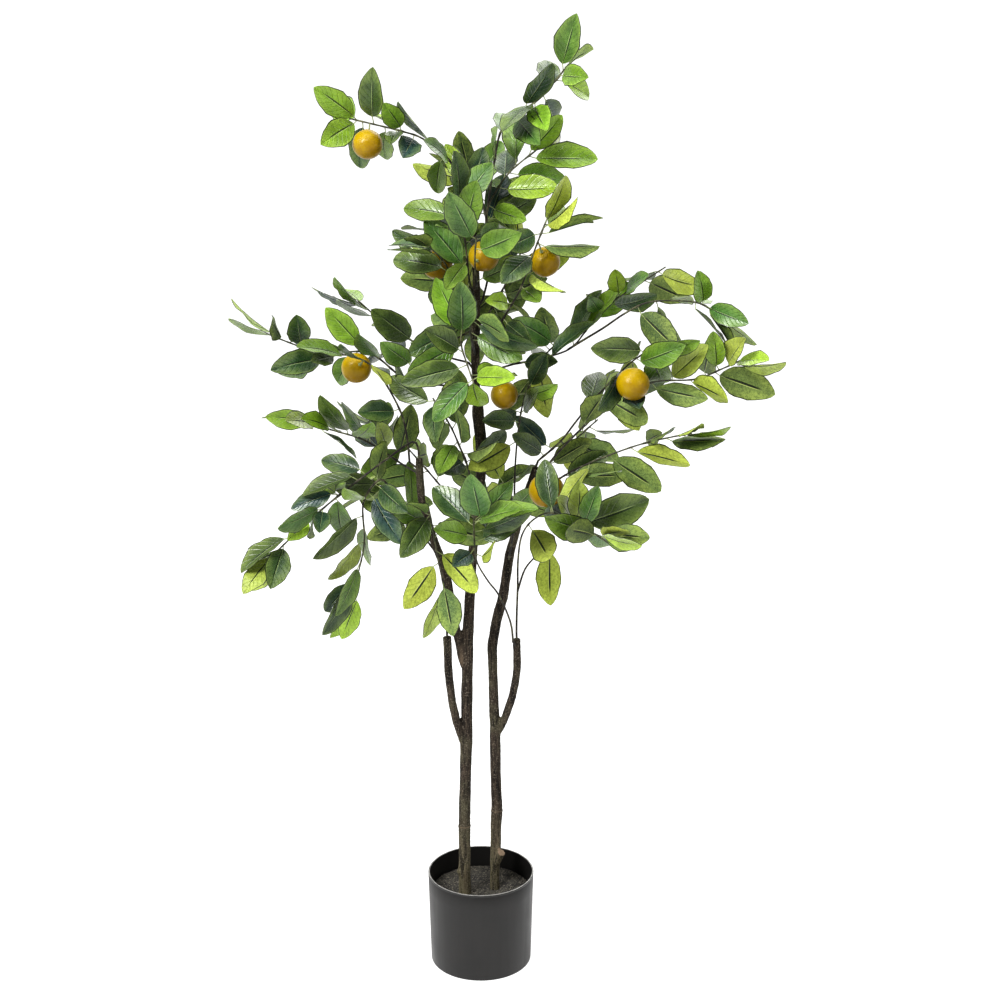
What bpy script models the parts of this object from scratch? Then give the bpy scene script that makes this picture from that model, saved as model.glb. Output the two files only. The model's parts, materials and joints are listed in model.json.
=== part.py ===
"""Artificial citrus tree, 1.2 m tall, in a plain pot.

Two bare wood trunks stand in holes in the filling of a thin-walled pot. Wire branches stand
in drilled holes in the trunks. Each branch carries its moulded leaves, and some carry a fruit.
Metres, +Z up, the front of the tree faces -Y, and the origin is under the middle of the pot.
"""
import math
import random

import bmesh
import bpy
from mathutils import Matrix, Quaternion, Vector
from mathutils.bvhtree import BVHTree

MM = 0.001

# Pot and filling
POT_HEIGHT = 0.125
POT_BASE_RADIUS = 0.0658
POT_RIM_RADIUS = 0.0690
POT_WALL = 0.0022
POT_FLOOR = 0.0035
POT_FOOT_BEVEL = 0.0012
POT_LIP = 0.3 * POT_WALL
POT_SEGMENTS = 36
FILLING_DROP = 0.027
FILLING_SEGMENTS = 24
FILLING_ROUGHNESS = 0.0012
FILLING_WAVES = (90.0, 110.0)
FILLING_EDGE = 0.003
FILLING_EDGE_DROP = 0.002
HOLE_RISE = 0.010

# Clearances between separate pieces
GAP = 0.0003
LEAF_GAP = 0.0005

# Branch wires
LIMB_SIDES = 10
LIMB_GUARD_SIDES = 7
WIRE_SIDES = 4
HOLE_SIDES = 4
WIRE_FOOT_RADIUS = 0.0017
WIRE_TIP_RADIUS = 0.0011
WIRE_STEP = 0.036
FOOT_CLEAR = 0.0045
END_HOLE_DEPTH = 0.007
FOOT_RISE = 0.9
FOOT_REACH = 1.42

# Leaves
LEAF_LENGTH = 0.064
LEAF_WIDTH = 0.033
LEAF_RIB = 0.0012
STALK_LENGTH = 0.010
FRONT_STALK_LENGTH = 0.024
FRONT_STALK_LEAN = 0.3
STALK_RADIUS = 0.00062
BIG_LEAF = 1.13
SHORT_LEAF = 0.84
SIZE_SPREAD = (0.93, 1.04)
WIDTH_SPREAD = (0.9, 1.1)
STALK_SPREAD = (0.8, 1.15)
ARCH_SPREAD = (0.04, 0.2)
FOLD_SPREAD = (0.12, 0.42)
LAST_PLACE = 0.965

# Half widths of a leaf's sections, as (share of its length, share of its half width)
LEAF_STATIONS = ((0.0, 0.05), (0.32, 0.94), (0.70, 0.78))
SHORT_LEAF_STATIONS = ((0.0, 0.05), (0.46, 1.0))
STALK_GUARD_STATION = (-0.6, 0.05)
TIP_GUARD_SHARE = 0.04

# Leaves of the back branches: first and last place in per cent, hours to either side, tones
BACK_START = 48
BACK_END = 99
BACK_SIDES = (2, 3, 4, 5)
BACK_TONES = "DDMMMFYdm"

# How leaves are turned, in degrees: per hour, towards or away from the eye, about their midrib
DIAL_STEP = 15
LEAF_DEPTHS = {"t": 62, "s": 46}
LEAF_ROLLS = {"e": 84, "h": 55}
FLAT_ANGLE = 14
NEARER_SHARE = 0.6

# The search for room: each further try swings a leaf more, in degrees, and changes its size
LEAF_TRIES = 160
SWING = 3.0
SWING_GROWTH = 0.45
SIZE_LOSS = 0.0016
STALK_GROWTH = 0.00004
LEAST_OUTWARD = 0.25
SIDE_STEPS = (-0.5, 0.5)

# Fruit
FRUIT_SEGMENTS = 12
FRUIT_RINGS = 6
FRUIT_GUARD = 1.03
BUTTON_SIDES = 6
BUTTON_RADIUS = 0.0032
BUTTON_HEIGHT = 0.0014
BUTTON_SHOULDER = 1.6 * BUTTON_HEIGHT
STALK_ROOT_RADIUS = 0.8 * WIRE_TIP_RADIUS
STALK_RISE = 0.010
LEAST_STALK = 0.005
STALK_PLACES = range(20, 97)

# The tree is seen a little from above: across and towards the eye
EYE_TILT = math.radians(17.0)
ACROSS = Vector((1.0, 0.0, 0.0))
FACING = Vector((0.0, -math.cos(EYE_TILT), math.sin(EYE_TILT)))

# Limbs of bare wood, as (x, y, z, radius) in millimetres from foot to top
LIMBS = {
    "left_main": [(-21, -12, 45, 8.0), (-21, -12, 98, 8.2), (-21, -12, 188, 7.6), (-21, -12, 195, 8.4),
                  (-21, -12, 202, 7.6), (-19, -12, 274, 7.3), (-18, -11, 318, 8.0), (-17, -10, 370, 7.0),
                  (-16, -10, 420, 7.3), (-16, -10, 446, 7.5), (-15, -10, 466, 7.2), (-13, -9, 504, 6.5),
                  (-9, -8, 566, 5.8), (-3, -7, 621, 5.9), (2, -6, 672, 6.1), (2, -5, 710, 6.8),
                  (-2, -4, 742, 7.4), (-2, -4, 752, 6.9)],
    "leader": [(-2, -4, 735, 4.4), (-4, -2, 783, 4.8), (-5, 0, 817, 5.4), (-4, 0, 857, 5.5),
               (-3, 0, 898, 4.6), (-5, 0, 941, 3.3), (-6, 0, 971, 2.7)],
    "left_fork": [(-18, -11, 412, 4.6), (-22, -12, 427, 6.1), (-25, -12, 447, 6.0), (-31, -14, 470, 5.7),
                  (-42, -20, 546, 5.2), (-57, -24, 589, 5.0), (-71, -27, 640, 4.7), (-73, -28, 693, 4.4)],
    "left_stub": [(-19, -12, 307, 5.0), (-29, -16, 338, 5.3), (-36, -20, 373, 5.2), (-40, -22, 416, 5.2),
                  (-41, -22, 460, 5.2)],
    "right_main": [(18, 7, 45, 6.4), (18, 7, 96, 6.3), (18, 8, 128, 6.6), (19, 8, 152, 7.1),
                   (20, 8, 200, 7.2), (21, 8, 207, 8.0), (21, 8, 214, 7.1), (19, 9, 264, 6.8),
                   (19, 9, 317, 7.2), (17, 10, 361, 6.0), (15, 11, 435, 6.2), (20, 11, 467, 6.5),
                   (29, 12, 502, 6.2), (34, 13, 536, 6.4), (38, 14, 562, 5.7), (45, 15, 586, 5.4),
                   (51, 15, 612, 4.9), (62, 10, 650, 4.1), (69, 6, 672, 3.8)],
    "right_stub": [(20, 9, 312, 4.8), (32, 6, 340, 5.2), (41, 3, 370, 5.0), (47, 0, 407, 5.0),
                   (46, 0, 449, 5.0)],
    "right_knot": [(18, 7, 126, 4.8), (23, 2, 143, 5.6), (27, -2, 152, 5.3)],
}
TRUNKS = {
    "trunk_left": ("left_main", "leader", "left_fork", "left_stub"),
    "trunk_right": ("right_main", "right_stub", "right_knot"),
}

# A branch: the limb and height in millimetres where its wire stands ("end" is the sawn end), the
# route of the wire in millimetres, and its leaves. A leaf is one word: its place along the wire in
# per cent, its tone, and the hour that it points to on a dial of 24 as seen from the front. The
# tones are Dark, Mid, Fresh and Yellowish, and a small letter shows the leaf's underside. Then b
# is a big leaf, s and t point more and more towards or away from the eye, h is half turned, e is
# seen edge on, and f stands forward on a longer stalk.
BRANCHES = {
    "crown_left": (("leader", "end"),
                   [(-10, 12, 1000), (-35, 15, 1045), (-65, 10, 1070), (-90, 0, 1080), (-150, -5, 1095)],
                   "40M21th 55D21se 65D13t 75F21sh 80M13t 88D0s 92D13s 96F15s 97F20s 99F21s"),
    "crown_side": (("leader", 881),
                   [(-12, -25, 915), (-15, -30, 950), (-25, -30, 1005)],
                   "40M21b 70M19te 75M1s 80D20sh 85M19 92D0sh 96M2 99D0sh"),
    "left_ball_high": (("leader", 857),
                       [(-25, -15, 880), (-38, -38, 930), (-60, -45, 955)],
                       "65D19f 90D18se 97M19sh 99m20th"),
    "crown_right": (("leader", 869),
                    [(12, 18, 915), (10, 20, 985), (40, 10, 1035), (70, 0, 1060)],
                    "50D4 70F6 75D0s 80M6 85M0 94F6b 99Y2s"),
    "front_ball": (("leader", 891),
                   [(-3, -28, 905), (-4, -62, 940), (-2, -66, 968)],
                   "35M4 85M5s 95D4s 97M22s"),
    "right_ball": (("leader", 826),
                   [(20, -22, 850), (50, -42, 905), (66, -44, 950), (80, -25, 982)],
                   "65y9sh 75D15s 82m6h 90m5e 94y4sh 97F3s 99Y2sh"),
    "left_high": (("leader", 793),
                  [(-45, 40, 805), (-90, 62, 822), (-118, 65, 840), (-150, 60, 870)],
                  "55D20s 70D19te 85M19se 90M20se 96D19e 99F21sh"),
    "left_long": (("leader", 764),
                  [(-50, 22, 772), (-90, 25, 778), (-130, 15, 812), (-200, 0, 820), (-258, 0, 842)],
                  "35m21th 42D18th 50M21th 57F21 65D18th 72D19te 84D0t 92d22th 96M19se 99F20e"),
    "left_ball_low": (("left_fork", 678),
                      [(-92, -30, 745), (-125, -52, 812), (-160, -62, 828), (-210, -60, 815)],
                      "50y22th 68D20te 78M19sh 88D17s 95F4th 99M17sh"),
    "left_spread": (("left_fork", 662),
                    [(-95, 18, 672), (-140, 25, 700), (-210, 15, 725)],
                    "35d1 45Y0th 50D21s 56D21h 60M3sh 66F4th 72D21sh 78d20se 85F20th 90m19te 95M19e 99Y19th"),
    "left_low_long": (("left_fork", "end"),
                      [(-80, -38, 716), (-112, -72, 702), (-185, -100, 650), (-250, -100, 588)],
                      "45D17h 52F18th 58M12s 66M16sh 72M14th 85D16h 90D13s 94F16sh 97M15t 99Y15s"),
    "left_hanging": (("left_fork", 586),
                     [(-92, -42, 630), (-118, -62, 676), (-138, -70, 650), (-138, -70, 600),
                      (-155, -70, 525)],
                     "40D18 44m0sh 50D10 54F20th 60D15bh 66M12sh 72Y14h 82M13h 92D14h 99F14h"),
    "front_left": (("leader", 851),
                   [(-18, -32, 862), (-20, -80, 845), (-5, -122, 808)],
                   "22M22th 36D16 44F22 52M0s 62M16 84D17b 92F5sh 96F11t 99M15"),
    "front_left_low": (("leader", 833),
                       [(-38, -38, 835), (-82, -68, 812)],
                       "65y3th 75F23t 92D20sh 98M20t"),
    "front_right": (("leader", 812),
                    [(-8, -38, 838), (-10, -65, 862), (-3, -82, 882)],
                    "45D6bh 62M8 84D8bh 94m8sh 99y15th"),
    "slender": (("right_main", 547),
                [(42, -15, 600), (44, -20, 690), (54, -22, 765), (80, -12, 818), (98, -2, 832)],
                "40m4te 55y16 68D2th 75F6th 82d14s 86y12s 91D3h 94D22e 97d23s 99M20s"),
    "right_ball_twig": (("right_main", "end"),
                        [(98, -5, 707), (138, -32, 768), (185, -55, 822), (215, -58, 840)],
                        "50D1s 58m8 66D6h 72y4th 76D14sh 81M1th 85M5s 89m5se 94M10s 98F6sh"),
    "right_far": (("right_main", 652),
                  [(98, -30, 704), (160, -28, 764), (205, -42, 790), (255, -55, 797), (314, -60, 824)],
                  "35d2s 41m4e 46Y2s 51y9s 56D11t 64m7 72Y3s 79y8sh 84d1t 88m7b 93Y1th 96F5th 99Y7se"),
    "right_low": (("right_main", 624),
                  [(84, -35, 660), (120, -85, 698), (190, -90, 727), (250, -85, 739)],
                  "40d6 47m6se 55Y14h 64m8b 74y7h 82d4te 89d6h 94y5te 97F6se 99y7se"),
    "right_top": (("leader", 779),
                  [(38, 26, 796), (110, 35, 814), (150, 40, 862), (225, 35, 915)],
                  "48D2bh 56F2h 62F3 66M23th 72D6sh 80M3th 90m7s 96M17se 99Y8sh"),
    "lower_right": (("right_stub", "end"),
                    [(47, -8, 520), (52, -35, 598), (88, -98, 645), (150, -150, 625)],
                    "57y10s 74D0f 80D20t 84Y22th 88D5b 91M8sh 93M19s 95d19s 97y5th 98F6s 99F7sh 99m6s"),
    "centre_fan": (("right_stub", 438),
                   [(38, -18, 478), (24, -38, 520), (-2, -68, 572), (-6, -120, 648)],
                   "70y4th 80D4 88D5h 92D21 94M3 96M4sh 98M5bh 99M23s"),
    "left_stub_twig": (("left_stub", "end"),
                       [(-40, -32, 505), (-50, -60, 575), (-60, -75, 645)],
                       "40Y13h 46m11 62y14 70y9 88m7 95D14s 99m21th"),
    "left_inner": (("left_main", 634),
                   [(-14, -38, 685), (-35, -48, 740), (-55, -45, 772)],
                   "42D3s 50m5sh 58m0sh 72d0 80m14th 88Y3th 98D20"),
}
# Side wires twisted onto a branch: its place there in per cent, its route and its leaves
TWIGS = {
    "crown_right": (55, [(18, 28, 1040), (30, 22, 1085), (70, 14, 1115), (104, 0, 1156)],
                    "30M0te 58M10s 65D3sh 70D15sh 76D9t 82D0s 93F8t 97F2se 99M1s"),
    "right_top": (45, [(150, 8, 846), (200, -10, 880), (262, -15, 880), (282, -15, 868)],
                  "52d9 64m10sh 74d5th 85D9e 90F23t 95d10e 99m9h"),
    "lower_right": (22, [(56, -10, 545), (84, -32, 586)],
                    "99y12"),
}
# Branches at the back, which fill the crown out: their limb, route and number of leaves
BACK_BRANCHES = {
    "back_crown": (("leader", 930), [(8, 34, 950), (5, 66, 985), (-15, 88, 1020)], 6),
    "back_upper_left": (("leader", 818), [(-12, 40, 858), (-36, 72, 912), (-54, 92, 955)], 6),
    "back_upper_right": (("leader", 841), [(20, 36, 872), (40, 68, 905), (56, 88, 935)], 6),
    "back_centre": (("leader", 803), [(0, 50, 820), (-8, 100, 838), (-15, 132, 828)], 6),
    "back_right": (("right_main", 640), [(84, 48, 662), (120, 85, 686), (150, 110, 706)], 6),
    "back_left": (("left_main", 590), [(-38, 45, 622), (-82, 88, 662), (-125, 108, 705)], 6),
    "back_low": (("right_main", 580), [(42, 60, 608), (30, 105, 622), (12, 132, 602)], 5),
    "back_low_left": (("left_fork", 560), [(-80, 18, 592), (-115, 58, 620), (-140, 82, 636)], 5),
}
# Fruits: the branch that each hangs from, its centre and its radius in millimetres
FRUITS = {
    "fruit_crown_left": ("crown_left", (-128, -22, 1067), 17.5),
    "fruit_left_high": ("left_ball_high", (-49, -18, 927), 18.0),
    "fruit_front": ("front_ball", (6, -38, 940), 18.0),
    "fruit_right_high": ("right_ball", (78, -18, 930), 18.0),
    "fruit_left_low": ("left_ball_low", (-146, -30, 805), 18.0),
    "fruit_centre": ("slender", (30, -30, 772), 17.0),
    "fruit_right": ("right_ball_twig", (180, -80, 797), 19.5),
    "fruit_low_right": ("lower_right", (80, -84, 669), 21.0),
}

COLOURS = {
    "pot": ((0.060, 0.056, 0.052), 0.55),
    "filling": ((0.022, 0.021, 0.020), 0.95),
    "wood": ((0.085, 0.062, 0.045), 0.85),
    "leaf": ((0.100, 0.230, 0.040), 0.40),
    "fruit": ((0.800, 0.480, 0.020), 0.45),
}


def clear_scene():
    for thing in list(bpy.data.objects):
        bpy.data.objects.remove(thing, do_unlink=True)


def material(name):
    """The Principled material of one finish, made once."""
    finish = bpy.data.materials.get(name)
    if finish:
        return finish
    colour, roughness = COLOURS[name]
    finish = bpy.data.materials.new(name)
    finish.use_nodes = True
    shader = finish.node_tree.nodes["Principled BSDF"]
    shader.inputs["Base Color"].default_value = (*colour, 1.0)
    shader.inputs["Roughness"].default_value = roughness
    return finish


def add_mesh(name, verts, faces, finish):
    """An object from points and faces, smooth shaded with sharp edges kept."""
    mesh = bpy.data.meshes.new(name)
    mesh.from_pydata([tuple(point) for point in verts], [], faces)
    return add_object(name, mesh, finish)


def add_object(name, mesh, finish):
    mesh.shade_smooth()
    mesh.set_sharp_from_angle(angle=math.radians(40))
    mesh.materials.clear()
    mesh.materials.append(material(finish))
    thing = bpy.data.objects.new(name, mesh)
    bpy.context.scene.collection.objects.link(thing)
    return thing


def combine(base, others, operation):
    """Join others to base, or cut them from it, and remove them."""
    tools = bpy.data.collections.new("tools")
    bpy.context.scene.collection.children.link(tools)
    for other in others:
        tools.objects.link(other)
    step = base.modifiers.new("combine", "BOOLEAN")
    step.operation = operation
    step.operand_type = "COLLECTION"
    step.collection = tools
    step.solver = "EXACT"
    graph = bpy.context.evaluated_depsgraph_get()
    result = bpy.data.meshes.new_from_object(base.evaluated_get(graph))
    base.modifiers.clear()
    base.data = result
    for other in others:
        bpy.data.objects.remove(other, do_unlink=True)
    bpy.data.collections.remove(tools)


def skin(rings, split=False):
    """Points and faces of a closed body over rings of equal count; the last may be one point.

    A split skin has the triangles of its upper and lower side cut alike, as a blade needs.
    """
    verts = [point for ring in rings for point in ring]
    count = len(rings[0])
    faces = [tuple(reversed(range(count)))]
    for row in range(len(rings) - 1):
        low = row * count
        high = low + count
        for side in range(count):
            after = (side + 1) % count
            if len(rings[row + 1]) == 1:
                faces.append((low + side, low + after, high))
            elif not split:
                faces.append((low + side, low + after, high + after, high + side))
            elif side % 2:
                faces.append((low + side, low + after, high + side))
                faces.append((low + after, high + after, high + side))
            else:
                faces.append((low + side, low + after, high + after))
                faces.append((low + side, high + after, high + side))
    if len(rings[-1]) > 1:
        start = (len(rings) - 1) * count
        faces.append(tuple(range(start, start + count)))
    return verts, faces


def tube(points, radii, sides):
    """A round tube along points, turned as little as possible from ring to ring."""
    rings = []
    tangent = (points[1] - points[0]).normalized()
    side = tangent.orthogonal().normalized()
    for index, point in enumerate(points):
        before = points[max(index - 1, 0)]
        after = points[min(index + 1, len(points) - 1)]
        ahead = (after - before).normalized()
        side = tangent.rotation_difference(ahead) @ side
        tangent = ahead
        other = tangent.cross(side)
        ring = []
        for corner in range(sides):
            turn = math.tau * corner / sides
            ring.append(point + (side * math.cos(turn) + other * math.sin(turn)) * radii[index])
        rings.append(ring)
    return skin(rings)


def limb_points(name):
    rows = LIMBS[name]
    return [Vector(row[:3]) * MM for row in rows], [row[3] * MM for row in rows]


def limb_spot(name, height):
    """Middle, direction and radius of a limb at a height in millimetres, or at its end."""
    points, radii = limb_points(name)
    if height == "end":
        return points[-1], (points[-1] - points[-2]).normalized(), radii[-1]
    level = height * MM
    for low, high, below, above in zip(points, points[1:], radii, radii[1:]):
        if low.z <= level <= high.z:
            share = (level - low.z) / (high.z - low.z)
            return low.lerp(high, share), (high - low).normalized(), below + share * (above - below)
    raise ValueError(f"{name} has no wood at {height} mm")


def wire_foot(limb, height, towards):
    """The straight start of a wire: its foot in the wood, where it comes out, and a point past it."""
    middle, axis, radius = limb_spot(limb, height)
    if height == "end":
        return [middle - axis * END_HOLE_DEPTH, middle + axis * FOOT_CLEAR, middle + axis * 2 * FOOT_CLEAR]
    outward = towards - middle
    outward -= axis * outward.dot(axis)
    heading = (outward.normalized() + axis * FOOT_RISE).normalized()
    reach = radius * FOOT_REACH + FOOT_CLEAR
    return [middle, middle + heading * reach, middle + heading * (reach + FOOT_CLEAR)]


def smooth_route(corners):
    """Points along a smooth curve through the corners, no further apart than the wire step."""
    route = [corners[0]]
    for index in range(1, len(corners)):
        first = corners[max(index - 2, 0)]
        start = corners[index - 1]
        stop = corners[index]
        last = corners[min(index + 1, len(corners) - 1)]
        steps = max(1, round((stop - start).length / WIRE_STEP))
        for step in range(1, steps + 1):
            t = step / steps
            route.append(0.5 * (2 * start + (stop - first) * t
                                + (2 * first - 5 * start + 4 * stop - last) * t * t
                                + (3 * start - first - 3 * stop + last) * t ** 3))
    return route


def along(route, share):
    """Point and direction at a share of a route's length."""
    lengths = [(b - a).length for a, b in zip(route, route[1:])]
    left = share * sum(lengths)
    for start, stop, length in zip(route, route[1:], lengths):
        if left <= length:
            return start.lerp(stop, left / length), (stop - start).normalized()
        left -= length
    return route[-1], (route[-1] - route[-2]).normalized()


def wire_radii(route, foot_radius=WIRE_FOOT_RADIUS):
    count = len(route) - 1
    return [foot_radius + (WIRE_TIP_RADIUS - foot_radius) * index / count for index in range(count + 1)]


class Wire:
    """One wire with the words of its leaves."""

    def __init__(self, owner, route, words, back=False):
        self.owner = owner
        self.route = route
        self.words = words
        self.back = back
        self.radii = wire_radii(route)


def back_words(name, route, count):
    """Words for the leaves of a back branch: they spread to both sides of the wire in turn."""
    draw = random.Random(name)
    heading = route[-1] - route[len(route) // 2]
    dial = round(math.degrees(math.atan2(-heading.x, heading.z)) / DIAL_STEP)
    words = []
    for index in range(count):
        place = BACK_START + round((BACK_END - BACK_START) * index / (count - 1))
        side = (1 if index % 2 else -1) * draw.choice(BACK_SIDES)
        tone = draw.choice(BACK_TONES)
        words.append(f"{place}{tone}{(dial + side) % 24}{draw.choice(('', 's', 'h', 'sh'))}")
    return " ".join(words)


def plan_wires():
    """Every wire of the tree, branch by branch, with the twigs that are twisted onto it."""
    wires = []
    for name, (foot, corners, words) in BRANCHES.items():
        corners = [Vector(corner) * MM for corner in corners]
        start = wire_foot(*foot, corners[0])
        route = start[:1] + smooth_route(start[1:] + corners)
        wires.append(Wire(name, route, words))
        if name in TWIGS:
            place, bends, words = TWIGS[name]
            joint, _ = along(route, place / 100)
            wires.append(Wire(name, smooth_route([joint] + [Vector(bend) * MM for bend in bends]), words))
    for name, (foot, corners, count) in BACK_BRANCHES.items():
        corners = [Vector(corner) * MM for corner in corners]
        start = wire_foot(*foot, corners[0])
        route = start[:1] + smooth_route(start[1:] + corners)
        wires.append(Wire(name, route, back_words(name, route, count), back=True))
    return wires


def fruit_stalk(wires, branch, centre, radius):
    """The wire's nearest point above the fruit and the direction from the fruit to it."""
    best = None
    for wire in wires:
        if wire.owner != branch:
            continue
        for step in STALK_PLACES:
            point, _ = along(wire.route, step / 100)
            distance = (point - centre - Vector((0, 0, STALK_RISE))).length
            clear = (point - centre).length > radius + LEAST_STALK
            if clear and (best is None or distance < best[0]):
                best = (distance, point)
    point = best[1]
    return point, (point - centre).normalized()


def stalk_rings(point, pole, axis):
    """Rings of the fruit's stalk, which ends in a round button just clear of the fruit."""
    stops = [(point, STALK_ROOT_RADIUS),
             (pole + axis * (GAP + BUTTON_SHOULDER), WIRE_TIP_RADIUS),
             (pole + axis * (GAP + BUTTON_HEIGHT), BUTTON_RADIUS),
             (pole + axis * GAP, BUTTON_RADIUS)]
    side = axis.orthogonal().normalized()
    other = axis.cross(side)
    rings = []
    for middle, radius in stops:
        ring = []
        for corner in range(BUTTON_SIDES):
            turn = -math.tau * corner / BUTTON_SIDES
            ring.append(middle + (side * math.cos(turn) + other * math.sin(turn)) * radius)
        rings.append(ring)
    return rings


def ball(centre, axis, radius):
    """Points and faces of a fruit with its pole towards the stalk."""
    shape = bmesh.new()
    bmesh.ops.create_uvsphere(shape, u_segments=FRUIT_SEGMENTS, v_segments=FRUIT_RINGS, radius=radius)
    turn = Vector((0, 0, 1)).rotation_difference(axis).to_matrix().to_4x4()
    bmesh.ops.transform(shape, matrix=Matrix.Translation(centre) @ turn, verts=shape.verts)
    verts = [point.co.copy() for point in shape.verts]
    faces = [tuple(corner.index for corner in face.verts) for face in shape.faces]
    shape.free()
    return verts, faces


class Leaf:
    """A leaf: its root in the wire, the start of its blade, its heading, top side and size."""

    def __init__(self, owner, root, base, heading, top, length, width, arch, fold, stations):
        self.owner = owner
        self.root = root
        self.base = base
        self.heading = heading
        self.top = top
        self.length = length
        self.width = width
        self.arch = arch
        self.fold = fold
        self.stations = stations

    def middle(self, t):
        """A point on the midrib at a share of the blade's length."""
        return self.base + (self.heading * t - self.top * self.arch * t * t) * self.length

    def frame(self, t):
        ahead = (self.heading - self.top * 2 * self.arch * t).normalized()
        side = self.heading.cross(self.top).normalized()
        return side, side.cross(ahead)


def leaf_rings(leaf):
    """Rings of four points (left edge, top, right edge, underside) from root to tip."""
    stalk = (leaf.base - leaf.root).normalized()
    side = stalk.cross(leaf.top).normalized()
    top = side.cross(stalk)
    root = leaf.root
    reach = STALK_RADIUS
    rings = [[root - side * reach, root - top * reach, root + side * reach, root + top * reach]]
    for t, share in leaf.stations:
        middle = leaf.middle(t)
        side, top = leaf.frame(t)
        half = 0.5 * leaf.width * share
        lift = top * leaf.fold * half
        rib = 0.5 * (LEAF_RIB if t else 2 * STALK_RADIUS)
        rings.append([middle - side * half + lift, middle - top * rib,
                      middle + side * half + lift, middle + top * rib])
    rings.append([leaf.middle(1.0)])
    return rings


def guard_rings(leaf, whole):
    """Rings of a slightly larger leaf with thick edges, used to keep leaves clear of things."""
    rings = []
    stations = list(leaf.stations) + [(1.0 + LEAF_GAP / leaf.length, TIP_GUARD_SHARE)]
    if whole:
        stations.insert(0, STALK_GUARD_STATION)
    for t, share in stations:
        side, top = leaf.frame(max(t, 0.0))
        middle = leaf.middle(t) if t >= 0 else leaf.base.lerp(leaf.root, -t)
        half = 0.5 * leaf.width * share + LEAF_GAP
        lift = top * leaf.fold * half
        thick = top * LEAF_GAP
        rib = top * (0.5 * LEAF_RIB + LEAF_GAP)
        rings.append([middle - side * half + lift + thick, middle - side * half + lift - thick,
                      middle - rib, middle + side * half + lift - thick,
                      middle + side * half + lift + thick, middle + rib])
    return rings


class Obstacles:
    """What has been placed, as trees of triangles with their boxes."""

    def __init__(self):
        self.things = []

    def add(self, owner, verts, faces):
        low = Vector([min(point[axis] for point in verts) for axis in range(3)])
        high = Vector([max(point[axis] for point in verts) for axis in range(3)])
        self.things.append((owner, BVHTree.FromPolygons(verts, faces), low, high))

    def meets(self, verts, faces, owner, own):
        """Whether a body meets a thing of its own branch, or, with own false, of any other."""
        low = [min(point[axis] for point in verts) for axis in range(3)]
        high = [max(point[axis] for point in verts) for axis in range(3)]
        tree = None
        for thing_owner, thing, thing_low, thing_high in self.things:
            if (thing_owner == owner) != own:
                continue
            if any(low[axis] > thing_high[axis] or high[axis] < thing_low[axis] for axis in range(3)):
                continue
            tree = tree or BVHTree.FromPolygons(verts, faces)
            if tree.overlap(thing):
                return True
        return False


def read_word(word):
    """Place, tone, dial and classes of a leaf's word."""
    digits = ""
    while word[0].isdigit():
        digits += word[0]
        word = word[1:]
    tone = word[0]
    word = word[1:]
    dial = ""
    while word and word[0].isdigit():
        dial += word[0]
        word = word[1:]
    return int(digits) / 100, tone, int(dial), word


def class_angle(angles, classes):
    """The angle of the first class in the table that a leaf has."""
    return math.radians(next((angle for name, angle in angles.items() if name in classes), FLAT_ANGLE))


def draw_leaf(wire, word, draw, attempt):
    """One try at a leaf: each further try swings it more."""
    place, tone, dial, classes = read_word(word)
    swing = math.radians(SWING + SWING_GROWTH * attempt)
    bearing = math.radians(90 - DIAL_STEP * dial) + draw.uniform(-swing, swing)
    away = -1 if wire.back else 1
    depth = class_angle(LEAF_DEPTHS, classes) * (1 if draw.random() < NEARER_SHARE else -1)
    depth += draw.uniform(-swing, swing)
    roll = class_angle(LEAF_ROLLS, classes) * (1 if draw.random() < 0.5 else -1)
    roll += draw.uniform(-swing, swing)
    across = ACROSS * away
    eye = Vector((FACING.x, FACING.y * away, FACING.z))
    rising = eye.cross(across)
    flat = across * math.cos(bearing) + rising * math.sin(bearing)
    heading = (flat * math.cos(depth) + eye * math.sin(depth)).normalized()
    top = (eye - heading * eye.dot(heading)).normalized()
    if tone.islower():
        top = -top
    top = Quaternion(heading, roll) @ top
    size = draw.uniform(*SIZE_SPREAD) * (1 - SIZE_LOSS * attempt)
    size *= BIG_LEAF if "b" in classes else SHORT_LEAF if "t" in classes else 1.0
    root, tangent = along(wire.route, min(place, LAST_PLACE))
    outward = heading - tangent * heading.dot(tangent)
    if outward.length < LEAST_OUTWARD:
        outward += tangent.cross(top) * draw.choice(SIDE_STEPS)
    lean = (heading + outward.normalized()).normalized()
    stalk = STALK_LENGTH * draw.uniform(*STALK_SPREAD) + STALK_GROWTH * attempt
    if "f" in classes:
        lean = (heading * FRONT_STALK_LEAN + eye).normalized()
        stalk = FRONT_STALK_LENGTH
    width = LEAF_WIDTH * size * draw.uniform(*WIDTH_SPREAD)
    stations = SHORT_LEAF_STATIONS if "t" in classes else LEAF_STATIONS
    return Leaf(wire.owner, root, root + lean * stalk, heading, top, LEAF_LENGTH * size, width,
                draw.uniform(*ARCH_SPREAD), draw.uniform(*FOLD_SPREAD), stations)


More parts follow.
